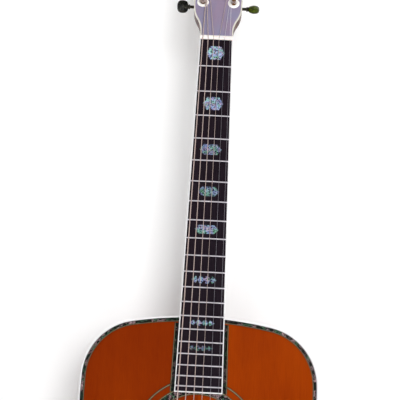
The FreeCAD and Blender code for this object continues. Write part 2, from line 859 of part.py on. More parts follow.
def fret_wire(number):
    """One fret: a crowned wire that follows the board's crown, with its tang in the slot."""
    z = fret_height(number)
    radius = S.fingerboard_crown_radius
    axis = Vector(0, BOARD_FACE + radius, z)
    half = S.fret_width / 2
    tall = S.fret_height
    profile = [Vector(0, BOARD_FACE - tall * up, z + half * along) for along, up in FRET_CROWN_SHARES]
    wide = board_half_width(z) - S.joint_clearance
    sweep = math.degrees(math.asin(wide / radius))
    crown = Part.Face(Part.makePolygon(profile + profile[:1]))
    crown.rotate(axis, Z_AXIS, -sweep)
    crown = crown.revolve(axis, Z_AXIS, 2 * sweep)
    wide = board_half_width(z) - S.board_binding_width - S.joint_clearance
    half = S.fret_tang_width / 2
    tang = block((-wide, BOARD_FACE - tall / 2, z - half), (wide, BOARD_FACE + S.fret_tang_depth, z + half))
    return crown.fuse(tang.common(board_crown()))


def frets():
    solid("frets", Part.makeCompound([fret_wire(number) for number in range(1, 21)]))


# Headstock frame and neck

HEAD = Placement(
    Vector(0, FRONT - S.headstock_step, NUT_Z + S.nut_length), Rotation(X_AXIS, -S.headstock_tilt)
)


def truss_rod_y():
    return FRONT + S.truss_rod_radius + S.truss_rod_cover


def truss_seat_z():
    """Where the truss rod's nut bears, inside the heel."""
    return S.body_length - S.tenon_length + S.truss_nut_length + S.overrun


def neck_section(height, depth, width, edge):
    """A C-shaped section under the fretboard: a flat, two edge arcs and a back arc."""
    half = width / 2
    flat = half - edge
    back = (flat**2 + depth**2 - edge**2) / (2 * (depth - edge))
    centre = Vector(flat, 0, 0)
    back_centre = Vector(0, depth - back, 0)
    join = back_centre + (centre - back_centre).normalize() * back
    middle = centre + ((Vector(half, 0, 0) - centre).normalize() + (join - centre).normalize()).normalize() * edge
    points = [Vector(half, 0, 0), middle, join, Vector(0, depth, 0)]
    right = [Vector(p.x, FRONT + p.y, height) for p in points]
    left = [Vector(-p.x, FRONT + p.y, height) for p in points]
    edges = [
        Part.LineSegment(left[0], right[0]).toShape(),
        Part.Arc(right[0], right[1], right[2]).toShape(),
        Part.Arc(right[2], right[3], left[2]).toShape(),
        Part.Arc(left[2], left[1], left[0]).toShape(),
    ]
    return Part.Wire(edges)


HEEL_CURVE_SHARES = [(1, 0), (0.94, 0.38), (0.64, 0.79), (0, 1)]


def heel_section(depth, width, length):
    """A half oval across the heel, flat against the body and round towards the headstock."""
    base = S.body_length - S.overrun
    reach = length + S.overrun
    half = width / 2
    right = [Vector(half * wide, FRONT + depth, base + reach * share) for wide, share in HEEL_CURVE_SHARES]
    left = [mirrored(point) for point in right]
    edges = [
        Part.LineSegment(left[0], right[0]).toShape(),
        Part.Arc(right[0], right[1], right[2]).toShape(),
        Part.Arc(right[2], right[3], left[2]).toShape(),
        Part.Arc(left[2], left[1], left[0]).toShape(),
    ]
    return Part.Wire(edges)


HEEL_REACH_SHARE = 6
HEEL_DEPTH_SHARES = [(0.09, 0.98, 4.6), (0.22, 0.86, 2.9), (0.40, 0.72, 1.75), (0.66, 0.58, 1.22), (1, None, 1)]


def heel_shape():
    """The heel, lofted down from the shaft to its foot."""
    total = S.neck_end_depth - S.heel_cap_thickness
    full = 2 * board_half_width(S.body_length)
    sections = []
    for depth_share, width_share, length_share in HEEL_DEPTH_SHARES:
        width = S.heel_foot_width if width_share is None else full * width_share
        sections.append(heel_section(total * depth_share, width, S.heel_foot_length * length_share))
    return Part.makeLoft(sections, True, True)


def head_half_width(height):
    """Half the headstock's width at a distance along its face, above the flare."""
    rise = S.headstock_length - S.flare_start - S.flare_length
    share = (height - S.flare_start - S.flare_length) / rise
    return S.flare_half_width + (S.crest_half_width - S.flare_half_width) * share


def head_face(inset, level):
    """The headstock's outline at an inset from its edge, in its own frame."""
    low = S.nut_width / 2
    start = S.flare_start
    end = S.flare_start + S.flare_length
    middle = Vector((low + S.flare_half_width) / 2, 0, (start + end) / 2)
    rise = S.flare_length / 2
    reach = (S.flare_half_width - low) / 2
    radius = (rise**2 + reach**2) / (2 * reach)
    turn = math.asin(rise / radius) / 2
    lower = Vector(low + radius * (1 - math.cos(turn)), 0, start + radius * math.sin(turn))
    upper = Vector(S.flare_half_width - radius * (1 - math.cos(turn)), 0, end - radius * math.sin(turn))
    corner = S.crest_corner_radius
    top = S.headstock_length
    side_top = Vector(S.crest_half_width, 0, top - corner)
    corner_mid = Vector(
        S.crest_half_width - corner * (1 - math.sqrt(0.5)), 0, top - corner * (1 - math.sqrt(0.5))
    )
    crown_end = Vector(S.crest_half_width - corner, 0, top)
    points = {
        "foot": Vector(low, 0, -S.nut_length),
        "start": Vector(low, 0, start),
        "end": Vector(S.flare_half_width, 0, end),
    }
    right = [
        Part.LineSegment(points["foot"], points["start"]),
        Part.Arc(points["start"], lower, middle),
        Part.Arc(middle, upper, points["end"]),
        Part.LineSegment(points["end"], side_top),
        Part.Arc(side_top, corner_mid, crown_end),
    ]
    edges = [edge.toShape() for edge in right]
    edges += [edge.mirror(Vector(), X_AXIS) for edge in edges]
    crest = Part.Arc(mirrored(crown_end), Vector(0, 0, top + S.crest_rise), crown_end)
    foot = Part.LineSegment(mirrored(points["foot"]), points["foot"])
    edges += [crest.toShape(), foot.toShape()]
    wire = Part.Wire(Part.sortEdges(edges)[0])
    if inset:
        wire = wire.makeOffset2D(-inset)
    face = Part.Face(wire)
    face.translate(Vector(0, level, 0))
    return face


def head_prism(inset, low, high):
    return head_face(inset, low).extrude(Vector(0, high - low, 0))


def past_nut():
    """The space past the nut's back face."""
    reach = S.headstock_length * 2
    return block((-reach, -reach, NUT_Z + S.nut_length), (reach, reach, NUT_Z + reach))


def post_places():
    """Each tuner's number, side and place along the headstock, from the low string round."""
    places = []
    for index in range(3):
        z = S.first_post_distance + S.post_pitch * index
        places.append((index, -1, z))
    for index in range(3):
        z = S.first_post_distance + S.post_pitch * (2 - index)
        places.append((3 + index, 1, z))
    return places


def post_x(side, z):
    return side * (head_half_width(z) - S.post_edge_distance)


def post_holes():
    holes = []
    length = S.headstock_thickness + S.veneer_thickness + 2 * S.overrun
    for _, side, z in post_places():
        start = Vector(post_x(side, z), -S.overrun, z)
        holes.append(drill(S.bushing_sleeve_radius, length, start, Y_AXIS))
    return Part.makeCompound(holes)


def shaft_section(height):
    """The shaft's section at a height, between the one in the body and the one at the nut."""
    low = S.body_length - S.overrun
    share = (height - low) / (NUT_Z - low)
    depth = S.neck_depth_at_body + (S.neck_depth_at_nut - S.neck_depth_at_body) * share
    edge = S.neck_edge_radius * depth / S.neck_depth_at_body
    return neck_section(height, depth, 2 * board_half_width(height), edge)


def neck():
    """The shaft, throat, headstock, heel and tenon in one piece, with the truss rod's bore and pocket."""
    low = S.body_length - S.overrun
    nut_edge = S.neck_edge_radius * S.neck_depth_at_nut / S.neck_depth_at_body
    throat_depth = S.neck_depth_at_nut + S.throat_length / 3
    at_body = neck_section(low, S.neck_depth_at_body, 2 * board_half_width(low), S.neck_edge_radius)
    past_heel = shaft_section(S.body_length + HEEL_REACH_SHARE * S.heel_foot_length)
    below_nut = shaft_section(NUT_Z - 2 * S.nut_length)
    at_nut = neck_section(NUT_Z, S.neck_depth_at_nut, S.nut_width, nut_edge)
    past_throat = neck_section(NUT_Z + S.throat_length, throat_depth, S.nut_width, nut_edge)
    shaft = Part.makeLoft([at_body, past_heel, below_nut, at_nut], True, True)
    throat = Part.makeLoft([at_nut, past_throat], True, True)
    paddle = head_prism(0, S.veneer_thickness, S.veneer_thickness + S.headstock_thickness)
    paddle = paddle.cut(post_holes())
    paddle.Placement = HEAD
    reach = S.headstock_length
    above = block((-reach, -reach, -reach), (reach, S.veneer_thickness, 2 * reach))
    above.Placement = HEAD
    above = above.common(past_nut())
    behind = block((-reach, S.veneer_thickness + S.headstock_thickness, -reach), (reach, reach, 2 * reach))
    behind.Placement = HEAD
    seat = block((-reach, -reach, NUT_Z - S.nut_length), (reach, FRONT, NUT_Z + S.nut_length))
    throat = throat.cut(above).cut(behind)
    paddle = paddle.cut(seat)
    outline = outline_prism(0, FRONT - S.overrun, BACK_FAR)
    wood = shaft.fuse(throat).fuse(heel_shape()).cut(outline)
    foot = FRONT + S.neck_end_depth - S.heel_cap_thickness
    tongue = tenon(0)
    wood = wood.fuse(tongue.common(block((-reach, FRONT, 0), (reach, foot, S.body_length))))
    wood = wood.fuse(paddle)
    rod_low = S.body_length - S.tenon_length - S.overrun
    rod = Part.makeCylinder(
        S.truss_rod_radius, NUT_Z - rod_low - S.nut_length, Vector(0, truss_rod_y(), rod_low), Z_AXIS
    )
    pocket = Part.makeCylinder(
        S.truss_nut_radius + S.truss_running_clearance,
        truss_seat_z() - rod_low,
        Vector(0, truss_rod_y(), rod_low),
        Z_AXIS,
    )
    solid("neck", wood.cut(rod).cut(pocket).cut(strap_screw_hole()).removeSplitter())


def heel_cap():
    depth = S.neck_end_depth - S.heel_cap_thickness
    face = Part.Face(heel_section(depth, S.heel_foot_width, S.heel_foot_length))
    cap = face.extrude(Y_AXIS * S.heel_cap_thickness)
    screw = strap_screw_hole()
    solid("heel_cap", cap.cut(outline_prism(0, FRONT, BACK_FAR)).cut(screw))


def veneer_and_binding():
    whole = head_prism(0, 0, S.veneer_thickness)
    inner = head_prism(S.headstock_binding_width, 0, S.veneer_thickness)
    rim = whole.cut(inner)
    face = inner.cut(post_holes())
    for shape in (rim, face):
        shape.Placement = HEAD
    solid("headstock_binding", rim.common(past_nut()))
    solid("headstock_veneer", face.common(past_nut()))


def truss_rod():
    place = Placement(Vector(0, truss_rod_y(), truss_seat_z() - S.truss_thread_length), Rotation())
    length = "truss_thread_length + truss_rod_length"
    rod = [
        ("0", "0"),
        ("truss_thread_radius", "0"),
        ("truss_thread_radius", "truss_thread_length"),
        ("truss_rod_radius", "truss_thread_length"),
        ("truss_rod_radius", length),
        ("0", length),
    ]
    turned("truss_rod", rod, place)
    bore = "truss_thread_radius + truss_running_clearance"
    socket = "truss_nut_length / 3"
    nut = [
        ("truss_socket_radius", "0"),
        ("truss_nut_radius", "0"),
        ("truss_nut_radius", "truss_nut_length"),
        (bore, "truss_nut_length"),
        (bore, socket),
        ("truss_socket_radius", socket),
    ]
    low = truss_seat_z() - S.cavity_clearance - S.truss_nut_length
    turned("truss_rod_nut", nut, Placement(Vector(0, truss_rod_y(), low), Rotation()))


# Nut and saddle


def crown_cylinder(rise):
    """A cylinder about the fretboard crown's axis, further out by a rise."""
    radius = S.fingerboard_crown_radius
    low = SADDLE_Z - S.bridge_length
    start = Vector(0, BOARD_FACE + radius, low)
    return Part.makeCylinder(radius + rise, NUT_Z - low + S.bridge_length, start, Z_AXIS)


def nut():
    half = S.nut_width / 2
    top = BOARD_FACE - S.nut_rise
    profile = [
        (FRONT, NUT_Z),
        (top, NUT_Z),
        (top, NUT_Z + S.nut_length / 2),
        (BOARD_FACE, NUT_Z + S.nut_length),
        (FRONT, NUT_Z + S.nut_length),
    ]
    points = [Vector(-half, y, z) for y, z in profile]
    shape = Part.Face(Part.makePolygon(points + points[:1])).extrude(X_AXIS * 2 * half)
    shape = shape.common(crown_cylinder(S.nut_rise))
    for index in range(6):
        for slot in string_slots(index):
            shape = shape.cut(slot)
    solid("nut", shape)


def saddle_box(length, low_y, high_y):
    """A box in the slanted saddle slot of the bridge."""
    half = S.saddle_thickness / 2
    shape = block((-length / 2, low_y, -half), (length / 2, high_y, half))
    shape.rotate(Vector(), Y_AXIS, -S.saddle_slant)
    shape.translate(Vector(0, 0, SADDLE_Z))
    return shape


def is_saddle_crest(edge):
    box = edge.BoundBox
    return box.XLength > S.saddle_length / 2 and box.YMax < BRIDGE_FACE


def saddle_floor():
    return BRIDGE_FACE + S.saddle_slot_depth


def saddle_and_pickup():
    floor = saddle_floor()
    near = BOARD_FACE - S.string_height_at_saddle
    bone = saddle_box(S.saddle_length, near - S.overrun, floor - S.pickup_thickness)
    bone = bone.common(crown_cylinder(S.string_height_at_saddle))
    top_edges = [edge for edge in bone.Edges if is_saddle_crest(edge)]
    bone = bone.makeChamfer(S.saddle_bevel, top_edges)
    solid("saddle", bone)
    solid("pickup_strip", saddle_box(S.saddle_length, floor - S.pickup_thickness, floor))


# Bridge and pins


def bridge_outline():
    """The bridge's outline: straight front, square wings and a belly behind the pins."""
    half = S.bridge_length / 2
    centre = S.bridge_centre_length / 2
    front = SADDLE_Z + S.bridge_front
    back = SADDLE_Z - S.bridge_back
    belly = back - S.bridge_belly
    left = [Vector(-half, FRONT, front), Vector(-half, FRONT, back)]
    waist = Vector(-centre, FRONT, back)
    edges = [
        Part.LineSegment(mirrored(left[0]), left[0]).toShape(),
        Part.LineSegment(left[0], left[1]).toShape(),
        Part.LineSegment(left[1], waist).toShape(),
        Part.Arc(waist, Vector(0, FRONT, belly), mirrored(waist)).toShape(),
        Part.LineSegment(mirrored(waist), mirrored(left[1])).toShape(),
        Part.LineSegment(mirrored(left[1]), mirrored(left[0])).toShape(),
    ]
    return Part.Face(Part.Wire(Part.sortEdges(edges)[0]))


def bridge_ramp(x):
    """The slot that leads a string from its pin hole up to the saddle."""
    half = S.pin_flute_width / 2
    profile = [(BRIDGE_FACE, 0), (BRIDGE_FACE + S.ramp_depth, 0), (BRIDGE_FACE, S.ramp_length)]
    points = [Vector(x - half, y, PIN_Z + z) for y, z in profile]
    return Part.Face(Part.makePolygon(points + points[:1])).extrude(X_AXIS * 2 * half)


def bridge():
    shape = bridge_outline().extrude(Y_AXIS * -S.bridge_thickness)
    uprights = [edge for edge in shape.Edges if is_wing_corner(edge)]
    shape = shape.makeFillet(S.bridge_corner_radius, uprights)
    reach = S.bridge_length
    wing = FRONT - S.bridge_wing_thickness
    for sense in (-1, 1):
        inner = sense * S.bridge_centre_length / 2
        slope = inner + sense * S.bridge_thickness * 2
        profile = [(inner, BRIDGE_FACE), (slope, wing), (sense * reach, wing), (sense * reach, BRIDGE_FACE)]
        profile += [(sense * reach, BRIDGE_FACE - S.overrun), (inner, BRIDGE_FACE - S.overrun)]
        points = [Vector(x, y, SADDLE_Z - reach) for x, y in profile]
        scoop = Part.Face(Part.makePolygon(points + points[:1])).extrude(Z_AXIS * 2 * reach)
        shape = shape.cut(scoop)
    slot = saddle_box(S.saddle_length, BRIDGE_FACE - S.overrun, saddle_floor())
    shape = shape.cut(slot).cut(pin_holes(BRIDGE_FACE - S.overrun, FRONT + S.overrun))
    shape = shape.cut(pickup_lead_hole(saddle_floor() - S.lead_radius, FRONT + S.overrun))
    for x in pin_places():
        shape = shape.cut(bridge_ramp(x))
    solid("bridge", shape)


def is_wing_corner(edge):
    ends = [vertex.Point for vertex in edge.Vertexes]
    across = abs(ends[0].y - ends[-1].y) > S.bridge_thickness / 2
    return across and abs(ends[0].x) > (S.bridge_length + S.bridge_centre_length) / 4


PIN_HEAD_SHARES = [(1, 0.2), (0.86, 0.62), (0.48, 0.92), (0, 1)]


def bridge_pins():
    """Six tapered pins with round heads, each with a flute for its string."""
    length = S.pin_length
    collar = S.pin_collar_radius
    head = S.pin_head_height
    profile = [(0, -length), (S.pin_tip_radius, -length), (S.pin_top_radius, 0), (collar, 0)]
    profile += [(collar * wide, head * high) for wide, high in PIN_HEAD_SHARES]
    pin = faceted(profile, ROUND_SIDES)
    half = S.pin_flute_width / 2
    flute = block((-half, S.pin_flute_floor, -length - S.overrun), (half, collar, 0))
    pin = pin.cut(flute)
    pins = []
    for x in pin_places():
        copy = pin.copy()
        copy.Placement = Placement(Vector(x, BRIDGE_FACE, PIN_Z), Rotation(X_AXIS, 90))
        pins.append(copy)
    solid("bridge_pins", Part.makeCompound(pins))


# Strings


def rounded_route(points, radii):
    """Straight runs joined by tangent arcs, as a list of edges."""
    edges = []
    start = points[0]
    for before, corner, after, radius in zip(points, points[1:], points[2:], radii):
        back = (before - corner).normalize()
        ahead = (after - corner).normalize()
        turn = math.pi - back.getAngle(ahead)
        trim = radius * math.tan(turn / 2)
        first = corner + back * trim
        last = corner + ahead * trim
        middle = corner + (back + ahead).normalize() * (radius / math.cos(turn / 2) - radius)
        edges.append(Part.LineSegment(start, first).toShape())
        edges.append(Part.Arc(first, middle, last).toShape())
        start = last
    edges.append(Part.LineSegment(start, points[-1]).toShape())
    return edges


def tangent_arc(start, heading, end):
    """The arc that leaves a point along a heading and reaches another point."""
    chord = end - start
    unit = chord / chord.Length
    side = heading - unit * heading.dot(unit)
    half_turn = heading.getAngle(unit)
    lift = chord.Length / 2 * math.tan(half_turn / 2)
    middle = (start + end) / 2 + side.normalize() * lift
    return Part.Arc(start, middle, end).toShape()


def biarc(start, heading, end, end_heading):
    """Two arcs that join two points along their headings."""
    gap = end - start
    both = heading + end_heading
    lead = 2 * (1 - heading.dot(end_heading))
    root = gap.dot(both) ** 2 + lead * gap.Length**2
    reach = (-gap.dot(both) + math.sqrt(root)) / lead
    middle = (start + end + (heading - end_heading) * reach) / 2
    first = tangent_arc(start, heading, middle)
    second = tangent_arc(end, -end_heading, middle)
    return [first, second]


def string_x(index, spread):
    return -spread / 2 + spread * index / 5


def crown_drop(x):
    return x**2 / (2 * S.fingerboard_crown_radius)


def nut_point(index):
    x = string_x(index, S.string_spread_at_nut)
    rise = S.string_height_at_nut + STRING_RADII[index]
    return Vector(x, BOARD_FACE - rise + crown_drop(x), NUT_Z + S.nut_length / 4)


def saddle_point(index):
    x = string_x(index, S.string_spread_at_saddle)
    rise = S.string_height_at_saddle + STRING_RADII[index] + S.joint_clearance
    crest = S.saddle_thickness / 2 - S.saddle_bevel
    return Vector(x, BOARD_FACE - rise + crown_drop(x), saddle_height(x) - crest)


MOST_TURNS = [2, 2.25, 2.5, 2.75, 3, 3]
STRING_SIDES = [6, 6, 6, 5, 5, 4]


def wrap_facts(index):
    """Where a string meets its post, in the headstock's frame: the tangent angle, radius and turns."""
    _, side, z = post_places()[index]
    wire = STRING_RADII[index]
    radius = S.post_radius + S.wrap_clearance + wire
    centre = Vector(post_x(side, z), 0, z)
    source = HEAD.inverse().multVec(nut_point(index))
    gap = Vector(centre.x - source.x, 0, centre.z - source.z)
    bearing = math.atan2(gap.z, gap.x)
    swing = math.acos(-radius / gap.Length)
    spin = -side
    angle = bearing - spin * swing
    low = S.bushing_flange_thickness + S.wrap_seat + wire
    room = S.post_hole_height - S.wrap_exit_rise - low
    turns = min(MOST_TURNS[index], math.floor(4 * room / (2 * wire + S.wrap_gap)) / 4)
    return SimpleNamespace(
        centre=centre, radius=radius, angle=angle, spin=spin, low=low, room=room, turns=turns, wire=wire
    )


def wrap_point(facts, angle, radius, height):
    out = Vector(math.cos(angle), 0, math.sin(angle))
    return facts.centre + out * radius + Vector(0, -height, 0)


def wrap_heading(facts, angle, climb):
    along = Vector(-math.sin(angle), 0, math.cos(angle)) * facts.spin
    return (along + Vector(0, -climb, 0)).normalize()


def string_entry(index):
    """Where a string first touches its winding's cylinder."""
    facts = wrap_facts(index)
    return HEAD.multVec(wrap_point(facts, facts.angle, facts.radius, facts.low))


def post_hole_angle(index):
    """The angle about the post at which its string goes in."""
    facts = wrap_facts(index)
    return facts.angle + facts.spin * (facts.turns * 2 * math.pi + math.radians(S.wrap_exit_angle))


def ramp_point(index):
    """Where a string leaves its pin hole for the saddle."""
    x = string_x(index, S.string_spread_at_saddle)
    hole_side = PIN_Z + S.pin_hole_radius - STRING_RADII[index]
    return Vector(x, BRIDGE_FACE + S.string_dip_in_ramp, hole_side)


def string_edges(index):
    """A string's whole route, from its ball end under the bridge to the mouth of its post hole."""
    wire = STRING_RADII[index]
    under = TOP_INSIDE + S.bridge_plate_thickness + S.ball_radius
    facts = wrap_facts(index)
    climb = facts.room / (facts.turns * 2 * math.pi * facts.radius)
    entry = string_entry(index)
    points = [
        Vector(ramp_point(index).x, under, ramp_point(index).z),
        ramp_point(index),
        saddle_point(index),
        nut_point(index),
        entry,
    ]
    edges = rounded_route(points, [S.string_bend_radius] * 3)
    place = entry
    heading = (entry - nut_point(index)).normalize()
    quarters = int(round(facts.turns * 4))
    for quarter in range(1, quarters + 1):
        angle = facts.angle + facts.spin * quarter * math.pi / 2
        height = facts.low + facts.room * quarter / quarters
        after = HEAD.multVec(wrap_point(facts, angle, facts.radius, height))
        after_heading = HEAD.Rotation.multVec(wrap_heading(facts, angle, climb))
        edges += biarc(place, heading, after, after_heading)
        place = after
        heading = after_heading
    last = post_hole_angle(index)
    inner = S.post_radius + S.wrap_clearance + 2 * wire
    bend = S.wrap_exit_bend
    out = Vector(math.cos(last), 0, math.sin(last))
    along = Vector(-math.sin(last), 0, math.cos(last)) * facts.spin
    level = facts.centre + Vector(0, -S.post_hole_height, 0)
    turn_in = HEAD.multVec(level + out * (inner + bend) - along * bend)
    mouth = HEAD.multVec(level + out * inner)
    end = HEAD.multVec(level + out * (S.post_radius + S.wrap_clearance))
    edges += biarc(place, heading, turn_in, HEAD.Rotation.multVec(along))
    edges.append(tangent_arc(turn_in, HEAD.Rotation.multVec(along), mouth))
    edges.append(Part.LineSegment(mouth, end).toShape())
    return edges


def tube(edges, radius, sides):
    """A tube of a regular polygon's section carried along a route."""
    first = edges[0]
    start = first.valueAt(first.FirstParameter)
    heading = first.tangentAt(first.FirstParameter)
    side = heading.cross(X_AXIS + Y_AXIS).normalize()
    points = []
    for index in range(sides):
        turn = Rotation(heading, 360.0 * index / sides)
        points.append(start + turn.multVec(side) * radius)
    section = Part.makePolygon(points + points[:1])
    return Part.Wire(edges).makePipeShell([section], True, False)


def section_area(radius, sides):
    return sides * radius**2 * math.sin(2 * math.pi / sides) / 2


def string_slot(start, end, half):
    """An open slot with a flat floor under a string's straight run."""
    run = end - start
    shape = block((-half, -S.overrun, -S.nut_length), (half, half, run.Length))
    shape.Placement = Placement(start, Rotation(X_AXIS, Y_AXIS, run, "ZYX"))
    return shape


def string_slots(index):
    """The two runs of the slot that a string lies in on the nut."""
    half = STRING_RADII[index] + S.string_slot_clearance
    place = nut_point(index)
    return string_slot(place, string_entry(index), half), string_slot(place, saddle_point(index), half)


def least_gap(index, edges):
    """The least distance between a string's turns, from points along them, less its thickness."""
    wire = STRING_RADII[index]
    points = []
    travelled = []
    distance = 0
    for edge in edges[7:]:
        steps = 8
        for step in range(steps):
            share = step / steps
            span = edge.LastParameter - edge.FirstParameter
            points.append(edge.valueAt(edge.FirstParameter + span * share))
            travelled.append(distance + edge.Length * share)
        distance += edge.Length
    least = S.scale_length
    apart = math.pi * S.post_radius
    for a in range(len(points)):
        for b in range(a + 1, len(points)):
            if travelled[b] - travelled[a] > apart:
                least = min(least, (points[a] - points[b]).Length)
    return least - 2 * wire


def ball_end(centre):
    """The ball at a string's end, with flat facets."""
    turns = [math.pi * step / 6 for step in range(7)]
    profile = [(S.ball_radius * math.sin(turn), -S.ball_radius * math.cos(turn)) for turn in turns[1:-1]]
    ball = faceted([(0, -S.ball_radius)] + profile + [(0, S.ball_radius)], 8)
    ball.translate(centre)
    return ball


def strings():
    wound = []
    plain = []
    for index in range(6):
        edges = string_edges(index)
        wire = STRING_RADII[index]
        shape = tube(edges, wire, STRING_SIDES[index])
        length = sum(edge.Length for edge in edges)
        x = string_x(index, S.string_spread_at_saddle)
        under = TOP_INSIDE + S.bridge_plate_thickness + S.ball_radius
        ball = ball_end(Vector(x, under, PIN_Z + S.ball_offset))
        share = shape.Volume / (length * section_area(wire, STRING_SIDES[index]))
        facts = (6 - index, length, share, wrap_facts(index).turns, least_gap(index, edges))
        print("string %d: length %.1f, volume share %.4f, turns %.2f, least gap %.2f" % facts)
        (wound if index < 4 else plain).append(shape.fuse(ball))
    solid("wound_strings", Part.makeCompound(wound))
    solid("plain_strings", Part.makeCompound(plain))


# Tuners


def head_place(x, y, z, rotation):
    """A place in the headstock's frame, as one in the guitar's."""
    return HEAD.multiply(Placement(Vector(x, y, z), rotation))


def tuner_post(index, side, z):
    """A string post with its worm wheel, on its own Z axis, which leaves the headstock's face."""
    wheel_top = -S.veneer_thickness - S.headstock_thickness - S.gear_inset
    wheel_low = wheel_top - S.gear_thickness
    bevel = S.post_radius / 5
    profile = [
        (0, wheel_low),
        (S.gear_radius, wheel_low),
        (S.gear_radius, wheel_top),
        (S.post_radius, wheel_top),
        (S.post_radius, S.post_top_height - bevel),
        (S.post_radius - bevel, S.post_top_height),
        (0, S.post_top_height),
    ]
    post = faceted(profile, ROUND_SIDES)
    start = Vector(-2 * S.post_radius, 0, S.post_hole_height)
    post = post.cut(drill(S.post_hole_radius, 4 * S.post_radius, start, X_AXIS))
    turn = Rotation(Z_AXIS, -math.degrees(post_hole_angle(index)))
    upright = Rotation(X_AXIS, 90).multiply(turn)
    solid("tuner_post_%d" % (6 - index), post, head_place(post_x(side, z), 0, z, upright))


BUTTON_ANGLES = [8.0, 35.0, -20.0, 15.0, -40.0, 58.0]
BUTTON_SHARES = [(0.42, 0), (0.84, 0.14), (1, 0.45), (0.88, 0.8), (0.46, 1)]


def button_grip():
    """The oval grip with its broad bevels, on the shaft's axis."""
    inner = S.post_edge_distance + S.button_gap
    half = S.button_height / 2
    right = [Vector(half * wide, 0, inner + S.button_length * along) for wide, along in BUTTON_SHARES]
    points = right + [mirrored(point) for point in reversed(right)]
    face = Part.Face(Part.makePolygon(points + points[:1]))
    face.translate(Y_AXIS * (-S.button_thickness / 2))
    grip = face.extrude(Y_AXIS * S.button_thickness)
    rims = [edge for edge in grip.Edges if edge.BoundBox.YLength < S.joint_clearance]
    return grip.makeChamfer(S.button_edge_radius, rims)


def tuner_button(index, side, z):
    """A button, its shaft and its worm, on their own Z axis, which leaves the side of the headstock."""
    inner = S.post_edge_distance + S.button_gap
    half = S.worm_length / 2
    profile = [
        (0, -half),
        (S.worm_radius, -half),
        (S.worm_radius, half),
        (S.shaft_radius, half),
        (S.shaft_radius, inner - S.collar_length),
        (S.collar_radius, inner - S.collar_length),
        (S.collar_radius, inner + S.collar_length),
        (0, inner + S.collar_length),
    ]
    shape = faceted(profile, ROUND_SIDES).fuse(button_grip())
    turn = Rotation(Y_AXIS, 90 * side).multiply(Rotation(Z_AXIS, BUTTON_ANGLES[index]))
    place = head_place(post_x(side, z), worm_y(), z + S.worm_offset, turn)
    solid("tuner_button_%d" % (6 - index), shape, place)


def worm_y():
    """The worm shaft's depth behind the headstock's face, level with the wheel's middle."""
    return S.veneer_thickness + S.headstock_thickness + S.gear_inset + S.gear_thickness / 2


def housing(side, z):
    """A closed gear housing on the back of the headstock, with its wheel and worm spaces."""
    x = post_x(side, z)
    back = S.veneer_thickness + S.headstock_thickness
    half = S.housing_width / 2
    shape = block((x - half, back, z - S.housing_below), (x + half, back + S.housing_depth, z + S.housing_above))
    far_edges = [edge for edge in shape.Edges if edge.BoundBox.YMax > back + S.housing_depth / 2]
    shape = shape.makeChamfer(S.housing_corner_radius, far_edges)
    level = worm_y()
    centre = Vector(x, level, z + S.worm_offset)
    collar = drill(S.collar_radius, half + S.collar_length, centre, X_AXIS * side)
    room = S.cavity_clearance
    wheel = Vector(x, level - S.gear_thickness / 2 - room, z)
    wheel_room = drill(S.gear_radius + room, S.gear_thickness + 2 * room, wheel, Y_AXIS)
    post_room = drill(S.post_radius + room, S.gear_inset, Vector(x, back, z), Y_AXIS)
    reach = S.worm_radius + room
    end = S.worm_length / 2 + room
    worm_room = block(centre - Vector(end, reach, reach), centre + Vector(end, reach, reach))
    shaft = drill(S.shaft_radius + S.shaft_running_clearance, S.housing_width, centre, X_AXIS * side)
    return shape.fuse(collar).cut(wheel_room).cut(post_room).cut(worm_room).cut(shaft)


def bushing(side, z):
    """A bushing: a flange on the face, a sleeve in the hole and a bore for the post."""
    rim = S.bushing_flange_thickness
    bore = (S.post_radius + S.post_running_clearance) / math.cos(math.pi / ROUND_SIDES)
    profile = [
        (bore, -S.bushing_sleeve_length),
        (S.bushing_sleeve_radius, -S.bushing_sleeve_length),
        (S.bushing_sleeve_radius, 0),
        (S.bushing_flange_radius, 0),
        (S.bushing_flange_radius, rim / 3),
        (S.bushing_sleeve_radius, rim),
        (bore, rim),
    ]
    shape = faceted(profile, ROUND_SIDES)
    shape.Placement = Placement(Vector(post_x(side, z), 0, z), Rotation(X_AXIS, 90))
    return shape


def tuners():
    housings = []
    bushings = []
    for index, side, z in post_places():
        tuner_post(index, side, z)
        tuner_button(index, side, z)
        housings.append(housing(side, z))
        bushings.append(bushing(side, z))
    solid("tuner_housings", Part.makeCompound(housings), HEAD)
    solid("tuner_bushings", Part.makeCompound(bushings), HEAD)


# Pickguard


GUARD_BROW_SHARE = 0.2
GUARD_BULGE_SHARE = 1.1
GUARD_TAIL_SHARE = 0.93


def pickguard():
    """A thin teardrop plate on the treble side of the soundhole."""
    inner = S.guard_inner_radius
    start = math.radians(S.guard_start_angle)
    end = math.radians(-S.guard_end_angle)
    tip = Vector(inner * math.cos(start), 0, inner * math.sin(start))
    foot = Vector(inner * math.cos(end), 0, inner * math.sin(end))
    inward = Vector(inner * math.cos((start + end) / 2), 0, inner * math.sin((start + end) / 2))
    reach = Vector(S.guard_reach, 0, -S.guard_reach_drop)
    low = Vector(S.guard_foot, 0, -S.guard_foot_drop)
    brow = Vector(S.guard_shoulder, 0, S.guard_reach_drop * GUARD_BROW_SHARE)
    bulge = Vector(S.guard_shoulder * GUARD_BULGE_SHARE, 0, -S.guard_foot)
    tail = Vector((S.guard_foot + foot.x) / 2, 0, -S.guard_foot_drop * GUARD_TAIL_SHARE)
    edges = [
        Part.Arc(foot, inward, tip).toShape(),
        Part.Arc(tip, brow, reach).toShape(),
        Part.Arc(reach, bulge, low).toShape(),
        Part.Arc(low, tail, foot).toShape(),
    ]
    face = Part.Face(Part.Wire(Part.sortEdges(edges)[0]))
    face.translate(Vector(0, FRONT - S.guard_thickness, HOLE_Z))
    solid("pickguard", face.extrude(Y_AXIS * S.guard_thickness))


# Preamp, wheels, battery and leads


